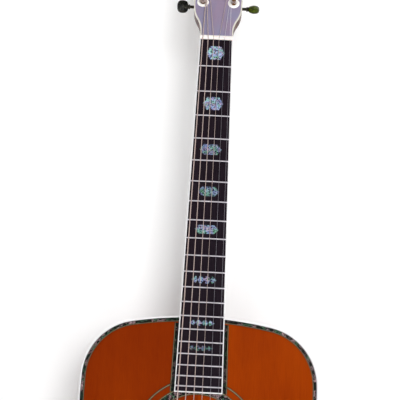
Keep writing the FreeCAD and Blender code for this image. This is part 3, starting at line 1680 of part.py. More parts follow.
def rim_place():
    """The preamp's frame: X out from the soundhole's centre, towards the upper bass side."""
    return Placement(Vector(0, TOP_INSIDE, HOLE_Z), Rotation(Y_AXIS, S.preamp_angle + 180))


def wheel_centre(sense):
    out = S.soundhole_radius - S.wheel_reach + S.wheel_radius
    return Vector(out, S.wheel_slot_inset, sense * S.wheel_spacing / 2)


def preamp():
    inner = S.soundhole_radius + S.preamp_rim_gap
    half = S.preamp_length / 2
    shape = block((inner, 0, -half), (inner + S.preamp_width, S.preamp_depth, half))
    shape = shape.makeChamfer(S.clip_thickness, [e for e in shape.Edges if e.BoundBox.YMin > S.preamp_depth / 2])
    for sense in (-1, 1):
        centre = wheel_centre(sense)
        low = centre.y - S.cavity_clearance
        length = S.wheel_thickness + 2 * S.cavity_clearance
        start = Vector(centre.x, low, centre.z)
        room = Part.makeCylinder(S.wheel_radius + S.cavity_clearance, length, start, Y_AXIS)
        pin = Part.makeCylinder(S.wheel_pin_radius, length, start, Y_AXIS)
        shape = shape.cut(room.cut(pin))
    solid("preamp_housing", shape, rim_place())
    profile = [
        ("wheel_pin_radius + wheel_running_clearance", "0"),
        ("wheel_radius", "0"),
        ("wheel_radius", "wheel_thickness"),
        ("wheel_pin_radius + wheel_running_clearance", "wheel_thickness"),
    ]
    for label, sense in (("volume_wheel", 1), ("tone_wheel", -1)):
        place = rim_place().multiply(Placement(wheel_centre(sense), Rotation(X_AXIS, -90)))
        turned(label, profile, place)


def battery_corner():
    """The low corner of the battery, hung under the neck block."""
    top = S.body_length - S.side_thickness - S.neck_block_height - S.clip_thickness
    return Vector(-S.battery_length / 2, -S.battery_width / 2, top - S.battery_thickness)


def battery():
    corner = battery_corner()
    size = Vector(S.battery_length, S.battery_width, S.battery_thickness)
    cell = doc.addObject("Part::Box", "battery")
    for prop, alias in (("Length", "battery_length"), ("Width", "battery_width"), ("Height", "battery_thickness")):
        cell.setExpression(prop, bound(alias))
    cell.Placement = Placement(corner, Rotation())
    keep(cell, "battery")
    wall = S.clip_thickness
    low = corner - Vector(wall, 0, wall)
    high = corner + size + Vector(wall, 0, wall)
    inset = S.battery_width / 6
    clip = block((low.x, low.y + inset, low.z), (high.x, high.y - inset, high.z))
    clip = clip.cut(block(corner, corner + size))
    lip = S.battery_length / 4
    clip = clip.cut(block((corner.x + lip, low.y, low.z - wall), (corner.x + size.x - lip, high.y, corner.z)))
    solid("battery_clip", clip)


LEAD_ARC_SHARE = 0.45
LEAD_SIDES = 6
PICKUP_CLIP_SHARE = 0.51
LOW_CLIP_SHARE = 0.56
HIGH_CLIP_SHARE = 0.42


def lead_edges(points):
    """A lead's route, with each arc as large as its two runs allow."""
    radii = []
    for before, corner, after in zip(points, points[1:], points[2:]):
        run = min((before - corner).Length, (after - corner).Length)
        turn = math.pi - (before - corner).getAngle(after - corner)
        radii.append(LEAD_ARC_SHARE * run / math.tan(turn / 2))
    return rounded_route(points, radii)


def lead_tube(points):
    return tube(lead_edges(points), S.lead_radius, LEAD_SIDES)


def brace_face(x, z):
    """The depth of the crossed braces' inner face at a place on the soundboard."""
    away = x**2 + (z - X_Z) ** 2
    radius = S.brace_taper_radius
    return TOP_INSIDE + S.x_brace_height - radius + math.sqrt(radius**2 - away)


def preamp_point(along, out):
    """A place level with the middle of the preamp's outer face."""
    far = S.soundhole_radius + S.preamp_rim_gap + S.preamp_width
    return rim_place().multVec(Vector(far + out, S.preamp_depth / 2, along))


def lead_routes():
    """The pickup's, the battery's and the output lead, each between the two pieces that it joins."""
    side = S.preamp_length / 4
    pickup_x = -S.saddle_length / 2 + 2 * S.lead_radius
    pickup_z = saddle_height(pickup_x)
    corner = battery_corner()
    battery_side = Vector(corner.x - S.clip_thickness, 0, corner.z + S.battery_thickness / 2)
    jack_top = S.side_thickness + S.tail_block_height + S.bushing_flange_thickness + S.jack_can_length
    pickup = [
        Vector(pickup_x, saddle_floor(), pickup_z),
        Vector(pickup_x, -42, pickup_z),
        Vector(-60, -42, 250),
        Vector(-94, -43, 302),
        Vector(-112, -46, 370),
        preamp_point(side, 16),
        preamp_point(side, 0),
    ]
    cell = [
        preamp_point(-side, 0),
        preamp_point(-side, 14),
        Vector(-72, -30, 424),
        battery_side - X_AXIS * 27,
        battery_side,
    ]
    output = [
        preamp_point(0, 0),
        preamp_point(0, 18),
        Vector(-116, -47, 400),
        Vector(-122, -47, 345),
        Vector(-118, -45, 285),
        Vector(-106, -45, 225),
        Vector(-88, -43, 168),
        Vector(-54, -22, 122),
        Vector(-12, -2, 94),
        Vector(0, 0, jack_top + 22),
        Vector(0, 0, jack_top),
    ]
    return pickup, cell, output


def lead_clip(start, end, share):
    """A saddle clip that holds a lead's straight run down on a brace."""
    place = start + (end - start) * share
    radius = S.lead_radius
    foot = brace_face(place.x, place.z)
    heading = Vector(end.x - start.x, 0, end.z - start.z)
    shape = block((-2 * radius, foot - radius, -2 * radius), (2 * radius, place.y + 2 * radius, 2 * radius))
    shape.rotate(Vector(), Y_AXIS, math.degrees(math.atan2(heading.x, heading.z)))
    shape.translate(Vector(place.x, 0, place.z))
    return shape


def internal_leads():
    pickup, cell, output = lead_routes()
    leads = Part.makeCompound([lead_tube(points) for points in (pickup, cell, output)])
    for points in (pickup, cell, output):
        length = sum(edge.Length for edge in lead_edges(points))
        share = lead_tube(points).Volume / (length * section_area(S.lead_radius, LEAD_SIDES))
        print("lead: length %.1f, volume share %.4f" % (length, share))
    solid("internal_leads", leads)
    clips = [lead_clip(pickup[1], pickup[2], PICKUP_CLIP_SHARE)]
    clips.append(lead_clip(output[5], output[6], LOW_CLIP_SHARE))
    clips.append(lead_clip(output[2], output[3], HIGH_CLIP_SHARE))
    braces = x_brace_pair()
    clips = [clip.cut(leads).cut(braces[0]).cut(braces[1]) for clip in clips]
    solid("lead_clips", Part.makeCompound(clips))


# End jack and strap buttons


def end_jack():
    """The jack's barrel from its mouth in the strap button to its can behind the tail block."""
    block_top = "side_thickness + tail_block_height"
    flange_top = block_top + " + bushing_flange_thickness"
    can_top = flange_top + " + jack_can_length"
    profile = [
        ("jack_bore_radius", "-end_button_length"),
        ("jack_barrel_radius", "-end_button_length"),
        ("jack_barrel_radius", "0"),
        ("jack_sleeve_radius", "0"),
        ("jack_sleeve_radius", block_top),
        ("jack_can_radius + bushing_flange_thickness", block_top),
        ("jack_can_radius + bushing_flange_thickness", flange_top),
        ("jack_can_radius", flange_top),
        ("jack_can_radius", can_top),
        ("0", can_top),
        ("0", "jack_bore_depth"),
        ("jack_bore_radius", "jack_bore_depth"),
    ]
    turned("end_jack", profile)
    button = [
        ("jack_barrel_radius", "-end_button_length"),
        ("end_button_rim_radius - end_button_foot_length", "-end_button_length"),
        ("end_button_rim_radius", "-end_button_length + end_button_foot_length"),
        ("end_button_rim_radius", "-end_button_length + end_button_rim_length - end_button_foot_length"),
        ("end_button_neck_radius", "-end_button_length + end_button_rim_length"),
        ("end_button_neck_radius", "-end_button_foot_length"),
        ("end_button_foot_radius", "-end_button_foot_length"),
        ("end_button_foot_radius", "0"),
        ("jack_barrel_radius", "0"),
    ]
    turned("end_button", button)


def strap_centre():
    """The strap button's seat on the heel cap."""
    return Vector(0, FRONT + S.neck_end_depth, S.body_length + S.heel_foot_length / 2)


def strap_screw_hole():
    start = strap_centre() - Y_AXIS * (S.heel_cap_thickness + S.overrun)
    return Part.makeCylinder(S.shaft_radius, 2 * (S.heel_cap_thickness + S.overrun), start, Y_AXIS)


def strap_button():
    """A turned strap button with its screw shank through the heel cap."""
    profile = [
        ("0", "-heel_cap_thickness"),
        ("shaft_radius", "-heel_cap_thickness"),
        ("shaft_radius", "0"),
        ("strap_button_foot_radius", "0"),
        ("strap_button_foot_radius", "strap_button_foot_length"),
        ("strap_button_neck_radius", "strap_button_foot_length + strap_button_foot_length / 2"),
        ("strap_button_neck_radius", "strap_button_length - strap_button_rim_length"),
        ("strap_button_rim_radius", "strap_button_length - strap_button_rim_length / 2"),
        ("strap_button_rim_radius - strap_button_foot_length / 2", "strap_button_length"),
        ("0", "strap_button_length"),
    ]
    turned("strap_button", profile, Placement(strap_centre(), Rotation(X_AXIS, -90)))


def build():
    soundboard()
    rosette()
    top_purfling()
    top_binding()
    back_binding()
    sides()
    back_panel()
    blocks_and_linings()
    x_braces()
    top_braces()
    bridge_plate()
    back_bracing()
    fingerboard()
    frets()
    neck()
    heel_cap()
    veneer_and_binding()
    truss_rod()
    nut()
    saddle_and_pickup()
    bridge()
    bridge_pins()
    strings()
    tuners()
    pickguard()
    preamp()
    battery()
    internal_leads()
    end_jack()
    strap_button()


def check_and_write():
    """Stop at any failed object or shape, then write each sub-part's file."""
    doc.recompute()
    for item in doc.Objects:
        if "Invalid" in item.State or "Error" in item.State:
            raise RuntimeError("%s failed: %s" % (item.Name, item.State))
    for piece in PARTS:
        if piece.Shape.isNull() or not piece.Shape.isValid() or not piece.Shape.Solids:
            raise RuntimeError("%s has no valid shape" % piece.Label)
    os.makedirs("parts", exist_ok=True)
    for piece in PARTS:
        piece.Shape.exportStep("parts/%s.step" % piece.Label)


build()
check_and_write()
print("sub-parts: %d" % len(PARTS))
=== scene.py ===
"""Steel-string acoustic-electric guitar: the looks and the fine pieces around its CAD frame."""

import math

import bmesh
import bpy
import numpy as np
from mathutils import Matrix, Vector


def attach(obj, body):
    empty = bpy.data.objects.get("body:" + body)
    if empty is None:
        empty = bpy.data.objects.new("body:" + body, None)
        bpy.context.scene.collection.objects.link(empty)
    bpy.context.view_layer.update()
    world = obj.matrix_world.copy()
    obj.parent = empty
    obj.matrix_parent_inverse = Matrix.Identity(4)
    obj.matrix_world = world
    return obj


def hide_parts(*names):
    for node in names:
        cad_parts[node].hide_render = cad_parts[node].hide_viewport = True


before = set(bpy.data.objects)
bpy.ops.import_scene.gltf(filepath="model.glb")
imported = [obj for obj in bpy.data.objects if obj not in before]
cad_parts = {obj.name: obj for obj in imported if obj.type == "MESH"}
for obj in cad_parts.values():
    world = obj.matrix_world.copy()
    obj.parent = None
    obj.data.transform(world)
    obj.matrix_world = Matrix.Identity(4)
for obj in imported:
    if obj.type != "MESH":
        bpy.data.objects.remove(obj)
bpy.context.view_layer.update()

# Camera. It stands a metre in front of the strings, level with the neck's foot, tips up by ten degrees and leans
# a little. Its place and turns were fitted to the frets, the nut and the body's outline in the photograph.
CAMERA_PLACE = (0.00954, -1.06374, 0.47167)
CAMERA_TURNS = (0.1795, -0.05306, 0.01979)
FRAME_PIXELS = 400
FOCAL_PIXELS = 805.4
SENSOR_WIDTH = 36
tip, swing, lean = CAMERA_TURNS
camera_data = bpy.data.cameras.new("camera")
camera_data.sensor_width = SENSOR_WIDTH
camera_data.lens = SENSOR_WIDTH * FOCAL_PIXELS / FRAME_PIXELS
camera = bpy.data.objects.new("camera", camera_data)
bpy.context.scene.collection.objects.link(camera)
upright = Matrix.Rotation(math.pi / 2, 4, "X")
turned = Matrix.Rotation(lean, 4, "Z") @ Matrix.Rotation(tip, 4, "X") @ Matrix.Rotation(swing, 4, "Y")
camera.matrix_world = Matrix.Translation(CAMERA_PLACE) @ turned @ upright
bpy.context.scene.camera = camera
bpy.context.scene.view_settings.view_transform = "Standard"


# Studio. The guitar hangs close before a white wall over a pale floor, and a broad lamp on the right throws its
# soft shadow to the left. The room is dark behind the camera and pale elsewhere. The wall shows from its front
# alone and lets the room's light through, so that the guitar's back is seen and lit as well.
REACH = 4.0
WALL_DISTANCE = 0.09
WALL_GREY, WALL_LIFT = 0.84, 0.16
FLOOR_DROP = 0.06
FLOOR_GREY, FLOOR_LIFT = 0.8, 0.1
LAMP_AIM = (0, 0, 0.6)
LAMPS = {  # place, width, power, whether it shows in gloss
    "key lamp": ((0.62, -2.55, 0.95), 0.95, 43, False),
    "fill lamp": ((-0.2, -2.8, 1.6), 2.4, 20, False),
    "glint lamp": ((1.9, -1.1, 0.75), 0.8, 7, True),
    "back lamp": ((-1.3, 2.3, 1.5), 1.2, 34, True),
}
SKY_SPAN = (-0.95, 0.3)
SKY_BEFORE, SKY_BEHIND = 0.03, 0.75


def node(material, kind, inputs=None, **settings):
    """Adds a shader node with its settings and inputs; an input is a value or another node's output."""
    made = material.node_tree.nodes.new("ShaderNode" + kind)
    for name, value in settings.items():
        setattr(made, name, value)
    for name, value in (inputs or {}).items():
        if isinstance(value, bpy.types.NodeSocket):
            material.node_tree.links.new(value, made.inputs[name])
        else:
            made.inputs[name].default_value = value
    return made


def maths(material, operation, *values):
    """A sum of values and other nodes' outputs, worked out in the shader."""
    return node(material, "Math", dict(enumerate(values)), operation=operation).outputs[0]


def coordinate(material, place, axis):
    """One coordinate of a place."""
    return node(material, "SeparateXYZ", {0: place}).outputs[axis]


def studio_paint(name, grey, lift, one_sided):
    """Matt paint that is lifted to white where the camera, a reflection or a clear piece looks at it."""
    paint = bpy.data.materials.new(name)
    paint.use_nodes = True
    paint.node_tree.nodes.clear()
    ray = node(paint, "LightPath")
    seen = ray.outputs["Is Camera Ray"]
    for kind in ("Is Glossy Ray", "Is Transmission Ray"):
        seen = maths(paint, "MAXIMUM", seen, ray.outputs[kind])
    light = node(paint, "Emission", {"Strength": maths(paint, "MULTIPLY", seen, lift)})
    matt = node(paint, "BsdfDiffuse", {"Color": (grey, grey, grey, 1)})
    face = node(paint, "AddShader", {0: matt.outputs[0], 1: light.outputs[0]}).outputs[0]
    if one_sided:
        behind = node(paint, "NewGeometry").outputs["Backfacing"]
        open_to = maths(paint, "MAXIMUM", behind, ray.outputs["Is Shadow Ray"])
        clear = node(paint, "BsdfTransparent").outputs[0]
        face = node(paint, "MixShader", {0: open_to, 1: face, 2: clear}).outputs[0]
    node(paint, "OutputMaterial", {"Surface": face})
    return paint


def studio_sheet(name, corners, paint):
    """A flat sheet of the studio, which isn't part of the guitar."""
    mesh = bpy.data.meshes.new(name)
    mesh.from_pydata(corners, [], [(0, 1, 2, 3)])
    mesh.materials.append(paint)
    sheet = bpy.data.objects.new(name, mesh)
    bpy.context.scene.collection.objects.link(sheet)


def lamp(name, place, width, power, glossy):
    """A square lamp turned towards the neck's foot; a matt one shows in no gloss, as behind a large diffuser."""
    data = bpy.data.lights.new(name, "AREA")
    data.size = width
    data.energy = power
    source = bpy.data.objects.new(name, data)
    bpy.context.scene.collection.objects.link(source)
    source.visible_glossy = glossy
    aim = Vector(LAMP_AIM) - Vector(place)
    source.matrix_world = Matrix.Translation(place) @ aim.to_track_quat("-Z", "Y").to_matrix().to_4x4()


wall_corners = [(-REACH, WALL_DISTANCE, -FLOOR_DROP), (REACH, WALL_DISTANCE, -FLOOR_DROP)]
wall_corners += [(REACH, WALL_DISTANCE, REACH), (-REACH, WALL_DISTANCE, REACH)]
studio_sheet("wall", wall_corners, studio_paint("wall paint", WALL_GREY, WALL_LIFT, True))
floor_corners = [(-REACH, -REACH, -FLOOR_DROP), (REACH, -REACH, -FLOOR_DROP)]
floor_corners += [(REACH, REACH, -FLOOR_DROP), (-REACH, REACH, -FLOOR_DROP)]
studio_sheet("floor", floor_corners, studio_paint("floor paint", FLOOR_GREY, FLOOR_LIFT, False))
for lamp_name, lamp_facts in LAMPS.items():
    lamp(lamp_name, *lamp_facts)
world = bpy.data.worlds.new("sky")
bpy.context.scene.world = world
world.use_nodes = True
sky = world.node_tree.nodes["Background"]
sky.inputs["Color"].default_value = (1, 1, 1, 1)
sky_way = coordinate(world, node(world, "TexCoord").outputs["Generated"], "Y")
sky_light = {"Value": sky_way, "From Min": SKY_SPAN[0], "From Max": SKY_SPAN[1]}
sky_light = node(world, "MapRange", sky_light | {"To Min": SKY_BEFORE, "To Max": SKY_BEHIND}).outputs[0]
sky_light = maths(world, "MAXIMUM", sky_light, node(world, "LightPath").outputs["Is Camera Ray"])
world.node_tree.links.new(sky_light, sky.inputs["Strength"])


# Soundboard. Two spruce halves are glued edge to edge down the middle, so that their fine grain mirrors, then
# stained amber under a thick gloss lacquer. The bass half is painted a little darker: painted shade, as the lamp
# on the right leaves it.
GRAIN_PITCH = 1.35
AMBER_LIGHT = (162, 65, 0)
AMBER_DEEP = (128, 41, 0)
# Painted shade: the tint that darkens the bass half.
BASS_SHADE_TINT = (228, 214, 176)
SEAM_BLUR = 0.4
LACQUER = {"Roughness": 0.4, "Specular IOR Level": 0.03, "Coat Weight": 0.25, "Coat Roughness": 0.04}
LINES_SHARE, PORES_SHARE, DRIFT_SHARE = 0.35, 0.45, 0.5
GRAIN_SPAN = (0.3, 0.95)


def tone(colour):
    """A screen colour of 0 to 255 as the linear colour that a shader takes."""
    share = np.array(colour, float) / 255
    linear = np.where(share <= 0.04045, share / 12.92, ((share + 0.055) / 1.055) ** 2.4)
    return (*linear.tolist(), 1.0)


def finish(name, colour, constants):
    """A material whose shader has this base colour and these constants on its own sockets."""
    made = bpy.data.materials.new(name)
    made.use_nodes = True
    shader = made.node_tree.nodes["Principled BSDF"]
    shader.inputs["Base Color"].default_value = tone(colour)
    for socket, value in constants.items():
        shader.inputs[socket].default_value = value
    return made


def wire(material, socket, source):
    """Leads a node's output to an input of the material's shader."""
    shader = material.node_tree.nodes["Principled BSDF"]
    material.node_tree.links.new(source, shader.inputs[socket])


def base_colour(material):
    """The node output that the material's base colour takes at present."""
    return material.node_tree.nodes["Principled BSDF"].inputs["Base Color"].links[0].from_socket


def millimetres(material, stretch=(1, 1, 1), mirrored=False):
    """The piece's own coordinates in millimetres, stretched; mirrored halves meet at X = 0."""
    place = node(material, "TexCoord").outputs["Object"]
    if mirrored:
        split = node(material, "SeparateXYZ", {0: place}).outputs
        across = maths(material, "ABSOLUTE", split["X"])
        place = node(material, "CombineXYZ", {"X": across, "Y": split["Y"], "Z": split["Z"]}).outputs[0]
    scale = [1000 * share for share in stretch]
    return node(material, "Mapping", {"Vector": place, "Scale": scale}).outputs[0]


def noise(material, place, scale, detail=3.0, distortion=0.0):
    """Soft blotches, each about one over the scale in millimetres wide."""
    settings = {"Vector": place, "Scale": scale, "Detail": detail, "Distortion": distortion}
    return node(material, "TexNoise", settings).outputs["Fac"]


def wave_scale(pitch):
    """A wave texture's scale for a pitch in millimetres: its lines lie two pi over twenty times the scale apart."""
    return 2 * math.pi / (20 * pitch)


def ramp(material, share, stops):
    """A colour that runs through stops of (place, screen colour)."""
    made = node(material, "ValToRGB", {"Fac": share})
    elements = made.color_ramp.elements
    while len(elements) < len(stops):
        elements.new(0.5)
    for element, (place, colour) in zip(elements, stops):
        element.position = place
        element.color = tone(colour)
    return made.outputs["Color"]


def mixed(material, share, first, second, mode="MIX"):
    """Two colours mixed by a share; each is a screen colour or another node's output."""
    made = node(material, "Mix", data_type="RGBA", blend_type=mode)
    colours = {"A_Color": first, "B_Color": second, "Factor_Float": share}
    sockets = {socket.identifier: socket for socket in made.inputs}
    for name, value in colours.items():
        if isinstance(value, bpy.types.NodeSocket):
            material.node_tree.links.new(value, sockets[name])
        else:
            sockets[name].default_value = value if name == "Factor_Float" else tone(value)
    return next(socket for socket in made.outputs if socket.identifier == "Result_Color")


def sharpened(material, value, low, high):
    """A value that goes from 0 at low to 1 at high and is flat beyond."""
    settings = {"Value": value, "From Min": low, "From Max": high}
    return node(material, "MapRange", settings).outputs[0]


def roughened(material, height, depth):
    """Bumps of a real depth in millimetres on the material's shader."""
    settings = {"Height": height, "Distance": depth / 1000, "Strength": 1.0}
    wire(material, "Normal", node(material, "Bump", settings).outputs[0])


def clouded(material, stretch, scale, span, first, second):
    """Tints the material's colour in slow clouds that go from one tint to another."""
    cloud = sharpened(material, noise(material, millimetres(material, stretch), scale, 2), *span)
    tint = mixed(material, cloud, first, second)
    wire(material, "Base Color", mixed(material, 1.0, base_colour(material), tint, "MULTIPLY"))


def grained_wood(name, light, dark, constants, pitch, stretch, mirrored=False, depth=0.0, across="X"):
    """Wood with growth lines across an axis at a pitch in millimetres and pores drawn out along the grain."""
    wood = finish(name, light, constants)
    place = millimetres(wood, stretch, mirrored)
    drift = noise(wood, place, 0.05, 2)
    bands = {"Vector": place, "Scale": wave_scale(pitch), "Distortion": 2.2, "Detail": 2, "Detail Scale": 1.4}
    lines = node(wood, "TexWave", bands, bands_direction=across).outputs["Fac"]
    pores = noise(wood, place, 2.6, 4)
    shares = maths(wood, "MULTIPLY", lines, LINES_SHARE)
    shares = maths(wood, "MULTIPLY_ADD", pores, PORES_SHARE, shares)
    shares = maths(wood, "MULTIPLY_ADD", drift, DRIFT_SHARE, shares)
    wire(wood, "Base Color", mixed(wood, sharpened(wood, shares, *GRAIN_SPAN), light, dark))
    if depth:
        roughened(wood, pores, depth)
    return wood


def dress(names, material):
    """Gives CAD nodes a material in place of the plain one they come with."""
    for name in names:
        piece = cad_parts[name]
        piece.data.materials.clear()
        piece.data.materials.append(material)


amber = grained_wood("amber lacquer", AMBER_LIGHT, AMBER_DEEP, LACQUER, GRAIN_PITCH, (1, 1, 0.03), mirrored=True)
treble_grain = base_colour(amber)
# Painted shade: the bass half's grain is multiplied by a darker tint.
shaded_bass_grain = mixed(amber, 1.0, treble_grain, BASS_SHADE_TINT, "MULTIPLY")
unshaded_treble_share = sharpened(amber, coordinate(amber, millimetres(amber), "X"), -SEAM_BLUR, SEAM_BLUR)
wire(amber, "Base Color", mixed(amber, unshaded_treble_share, shaded_bass_grain, treble_grain))
clouded(amber, (1, 1, 0.6), 0.016, (0.3, 0.7), (236, 222, 200), (255, 255, 255))
dress(["soundboard"], amber)


# Back and sides. They are mahogany under a dark red brown gloss lacquer; the back's halves mirror as the top's do
# and meet at an inlaid centre strip of dark and pale lines, which follows the back's arch.
MAHOGANY_LIGHT = (126, 54, 30)
MAHOGANY_DARK = (62, 23, 12)
ARCH_RADIUS = 4600.0
ARCH_CENTRE = (-4538.86, 37.25)
STRIP_ENDS = (4.0, 504.0)
STRIP_STEPS = 90
STRIP_ROOT = 0.5
STRIP_PROUD = (0.03, 0.05, 0.07)
STRIP_LINES = [(-4.0, 4.0, "dark"), (-3.2, 3.2, "pale"), (-2.4, 2.4, "dark")]
LINE_GLOSS = {"Roughness": 0.35, "Coat Weight": 0.5}


def mottled(name, first, second, constants, scale, detail=3, stretch=(1, 1, 1)):
    """A finish that wanders between two tones, in blotches about one over the scale in millimetres wide."""
    made = finish(name, first, constants)
    blotches = noise(made, millimetres(made, stretch), scale, detail)
    wire(made, "Base Color", mixed(made, blotches, first, second))
    return made


def surface(name, grids, material, body="body_and_neck", ring=False, sharp=35):
    """Closed pieces from grids of points in millimetres, rows by columns: columns always close round, rows too in
    a ring and otherwise end in one flat face each. Doubles are merged and faces turned outwards."""
    points, faces, start = [], [], 0
    for grid in grids:
        rows, columns = grid.shape[:2]
        index = start + np.arange(rows * columns).reshape(rows, columns)
        beyond = np.roll(index, -1, axis=0) if ring else index[1:]
        near = index if ring else index[:-1]
        quads = [near, np.roll(near, -1, axis=1), np.roll(beyond, -1, axis=1), beyond]
        faces += np.stack(quads, axis=-1).reshape(-1, 4).tolist()
        if not ring:
            faces += [index[0].tolist(), index[-1].tolist()]
        points.append(grid.reshape(-1, 3))
        start += rows * columns
    mesh = bpy.data.meshes.new(name)
    mesh.from_pydata((np.concatenate(points) / 1000).tolist(), [], faces)
    shape = bmesh.new()
    shape.from_mesh(mesh)
    bmesh.ops.remove_doubles(shape, verts=shape.verts, dist=1e-6)
    bmesh.ops.recalc_face_normals(shape, faces=shape.faces)
    shape.to_mesh(mesh)
    shape.free()
    mesh.shade_smooth()
    mesh.set_sharp_from_angle(angle=math.radians(sharp))
    mesh.materials.append(material)
    made = bpy.data.objects.new(name, mesh)
    bpy.context.scene.collection.objects.link(made)
    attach(made, body)
    return made


def laid_strip(left, right, low, high):
    """A flat strip between two lines of points (x, z), from depth low to depth high (numbers or one per point):
    each row is the strip's square section at one place on the lines."""
    low = np.broadcast_to(low, len(left))
    high = np.broadcast_to(high, len(left))
    corners = [(left, low), (right, low), (right, high), (left, high)]
    return np.stack([np.stack([line[:, 0], depth, line[:, 1]], -1) for line, depth in corners], axis=1)


def arch_depth(x, z):
    """The back's depth at a place: a sphere's far side, centre depth plus the root of radius squared less x squared
    less the height above the centre squared."""
    return ARCH_CENTRE[0] + np.sqrt(ARCH_RADIUS**2 - x**2 - (z - ARCH_CENTRE[1]) ** 2)


mahogany = grained_wood("mahogany lacquer", MAHOGANY_LIGHT, MAHOGANY_DARK, LACQUER, 4.2, (1, 1, 0.05), mirrored=True)
dress(["back_panel"], mahogany)
side_wood = grained_wood("side mahogany", MAHOGANY_LIGHT, MAHOGANY_DARK, LACQUER, 5.5, (0.05, 1, 0.05), across="Y")
dress(["side_bass", "side_treble"], side_wood)
line_black = mottled("black line wood", (12, 11, 11), (30, 26, 24), LINE_GLOSS, 0.8)
line_pale = mottled("pale line wood", (168, 156, 112), (112, 96, 58), LINE_GLOSS, 0.5)
LINE_WOODS = {"dark": line_black, "pale": line_pale}
strip_heights = np.linspace(*STRIP_ENDS, STRIP_STEPS)
strip_depth = arch_depth(0.0, strip_heights)
for number, (left, right, tint) in enumerate(STRIP_LINES):
    edges = [np.stack([np.full(STRIP_STEPS, x), strip_heights], -1) for x in (left, right)]
    inlay = laid_strip(*edges, strip_depth - STRIP_ROOT, strip_depth + STRIP_PROUD[number])
    surface("back_strip_line_%d" % number, [inlay], LINE_WOODS[tint])


# Blocks, linings and braces. They are bare spruce inside the body, split or sawn, sanded but not finished, and
# glued to the top, the back and the sides.
BARE = {"Roughness": 0.75, "Specular IOR Level": 0.3}
spruce = grained_wood("bare spruce", (206, 170, 122), (168, 126, 82), BARE, 1.6, (1, 1, 0.05), depth=0.05)
dress(["neck_block", "tail_block", "top_linings", "back_linings", "x_brace_bass", "x_brace_treble"], spruce)
dress(["top_braces", "bridge_plate", "back_braces", "back_strip"], spruce)


# Bindings. White plastic strips are glued into rebates round the top, the back and the fretboard, with a heel cap
# of the same sheet. The headstock's strip has yellowed a little more.
IVORY = (238, 238, 241)
IVORY_DEEP = (218, 216, 216)
IVORY_GLOSS = {"Roughness": 0.25, "Coat Weight": 0.6, "Coat Roughness": 0.06}
AGED = (220, 216, 206)
AGED_DEEP = (196, 190, 176)
AGED_GLOSS = {"Roughness": 0.3, "Coat Weight": 0.4, "Coat Roughness": 0.08}
ivory = mottled("ivory binding", IVORY, IVORY_DEEP, IVORY_GLOSS, 0.06)
dress(["top_binding", "back_binding", "fingerboard_binding", "heel_cap"], ivory)
aged_ivory = mottled("aged ivory binding", AGED, AGED_DEEP, AGED_GLOSS, 0.08)
dress(["headstock_binding"], aged_ivory)


# Shell trim. Slips of abalone are laid end to end round the top's edge, beside the fretboard and in the rosette,
# between hair lines of black and pale wood that are set flush with the top. A narrow ledge of the amber top covers
# the inner part of the edge's slips.
TOP_FACE = -61.0
LINE_TOP = TOP_FACE - 0.03
LINE_ROOT = TOP_FACE + 0.6
ARCS = [  # centre x, centre z, radius, bulge outwards or inwards, first angle, last angle, steps
    (0.0, 52.0, 456.0, 1, 90.0, 79.0652, 14),
    (72.8416, 429.028, 72.0, 1, 79.0652, 1.7387, 30),
    (-488.0975, 412.0, 633.1975, 1, 1.7387, -8.5535, 14),
    (276.4979, 297.0, 139.9979, -1, 171.4465, 219.017, 24),
    (60.5221, 122.0, 137.9779, 1, 39.017, -7.2515, 26),
    (93.2362, 117.8374, 105.0, 1, -7.2515, -74.3209, 30),
    (0.0, 450.0, 450.0, 1, -74.3209, -90.0, 16),
]
EDGE_LINES = [(1.6, 2.25, "dark"), (5.4, 5.8, "dark"), (5.8, 6.05, "pale"), (6.05, 6.8, "dark")]
EDGE_LEDGE = (6.8, 7.9)
HOLE_HEIGHT = 356.0
RING_LINES = [(57.6, 58.4, "dark"), (58.4, 58.85, "pale"), (67.15, 67.6, "pale"), (67.6, 68.4, "dark")]
RING_TURN = (0, 357, 120)
FINE_RING_LINES = [(75.2, 76.05, "dark"), (76.05, 76.8, "pale"), (76.8, 77.75, "dark")]
FINE_RING_TURN = (64.5, -244.5, 140)
NUT_HEIGHT = 865.796
NUT_WIDTH = 42.9
JOINT_WIDTH = 54.0
JOINT_RUN = 322.6
BOARD_END = 416.2
BOARD_SIDE_LINES = [(0.0, 0.6, "dark"), (4.55, 4.9, "pale"), (4.9, 5.75, "dark")]
BOARD_SIDE_ENDS = (BOARD_END - 0.4, 500.0)
SHELL_GLOSS = {"Roughness": 0.22, "Specular IOR Level": 0.4, "Coat Weight": 0.5}
SHELL_STOPS = [
    (0.0, (40, 80, 60)), (0.19, (8, 10, 6)), (0.21, (96, 150, 116)), (0.23, (140, 176, 140)), (0.25, (8, 20, 14)),
    (0.38, (10, 44, 34)), (0.45, (6, 6, 6)), (0.55, (34, 22, 12)), (0.61, (8, 36, 27)), (0.69, (8, 7, 8)),
    (0.72, (80, 28, 60)), (0.75, (246, 214, 218)), (0.77, (180, 130, 130)), (0.785, (12, 12, 12)),
    (1.0, (18, 44, 30)),
]
SLIPS_SHARE, STREAKS_SHARE = 0.62, 0.38
# Painted shade: the shell is darkened within 33 mm of the middle, beside the raised fretboard and neck, fading out
# by 58.
BOARD_SHADE_TINT = (138, 142, 136)
BOARD_SHADE_SPAN = (33, 58)


def outline(inset):
    """The body's outline at an inset, as (x, z) points: along each arc x = centre x + r cos a and z = centre z +
    r sin a, where r is the radius less the inset, or plus it where the arc bends inwards; then the mirror image."""
    runs = []
    for x, z, radius, bulge, first, last, steps in ARCS:
        angle = np.radians(np.linspace(first, last, steps, endpoint=False))
        reach = radius - bulge * inset
        runs.append(np.stack([x + reach * np.cos(angle), z + reach * np.sin(angle)], -1))
    half = np.concatenate(runs + [np.array([[0.0, inset]])])
    return np.concatenate([half, half[-2:0:-1] * (-1, 1)])


def hole_ring(turn):
    """A circle about the soundhole's centre from a first angle to a last in steps, as a function of its radius:
    x = radius cos a and z = hole height + radius sin a, with the angle from the treble side."""
    angle = np.radians(np.linspace(*turn))
    return lambda radius: np.stack([radius * np.cos(angle), HOLE_HEIGHT + radius * np.sin(angle)], -1)


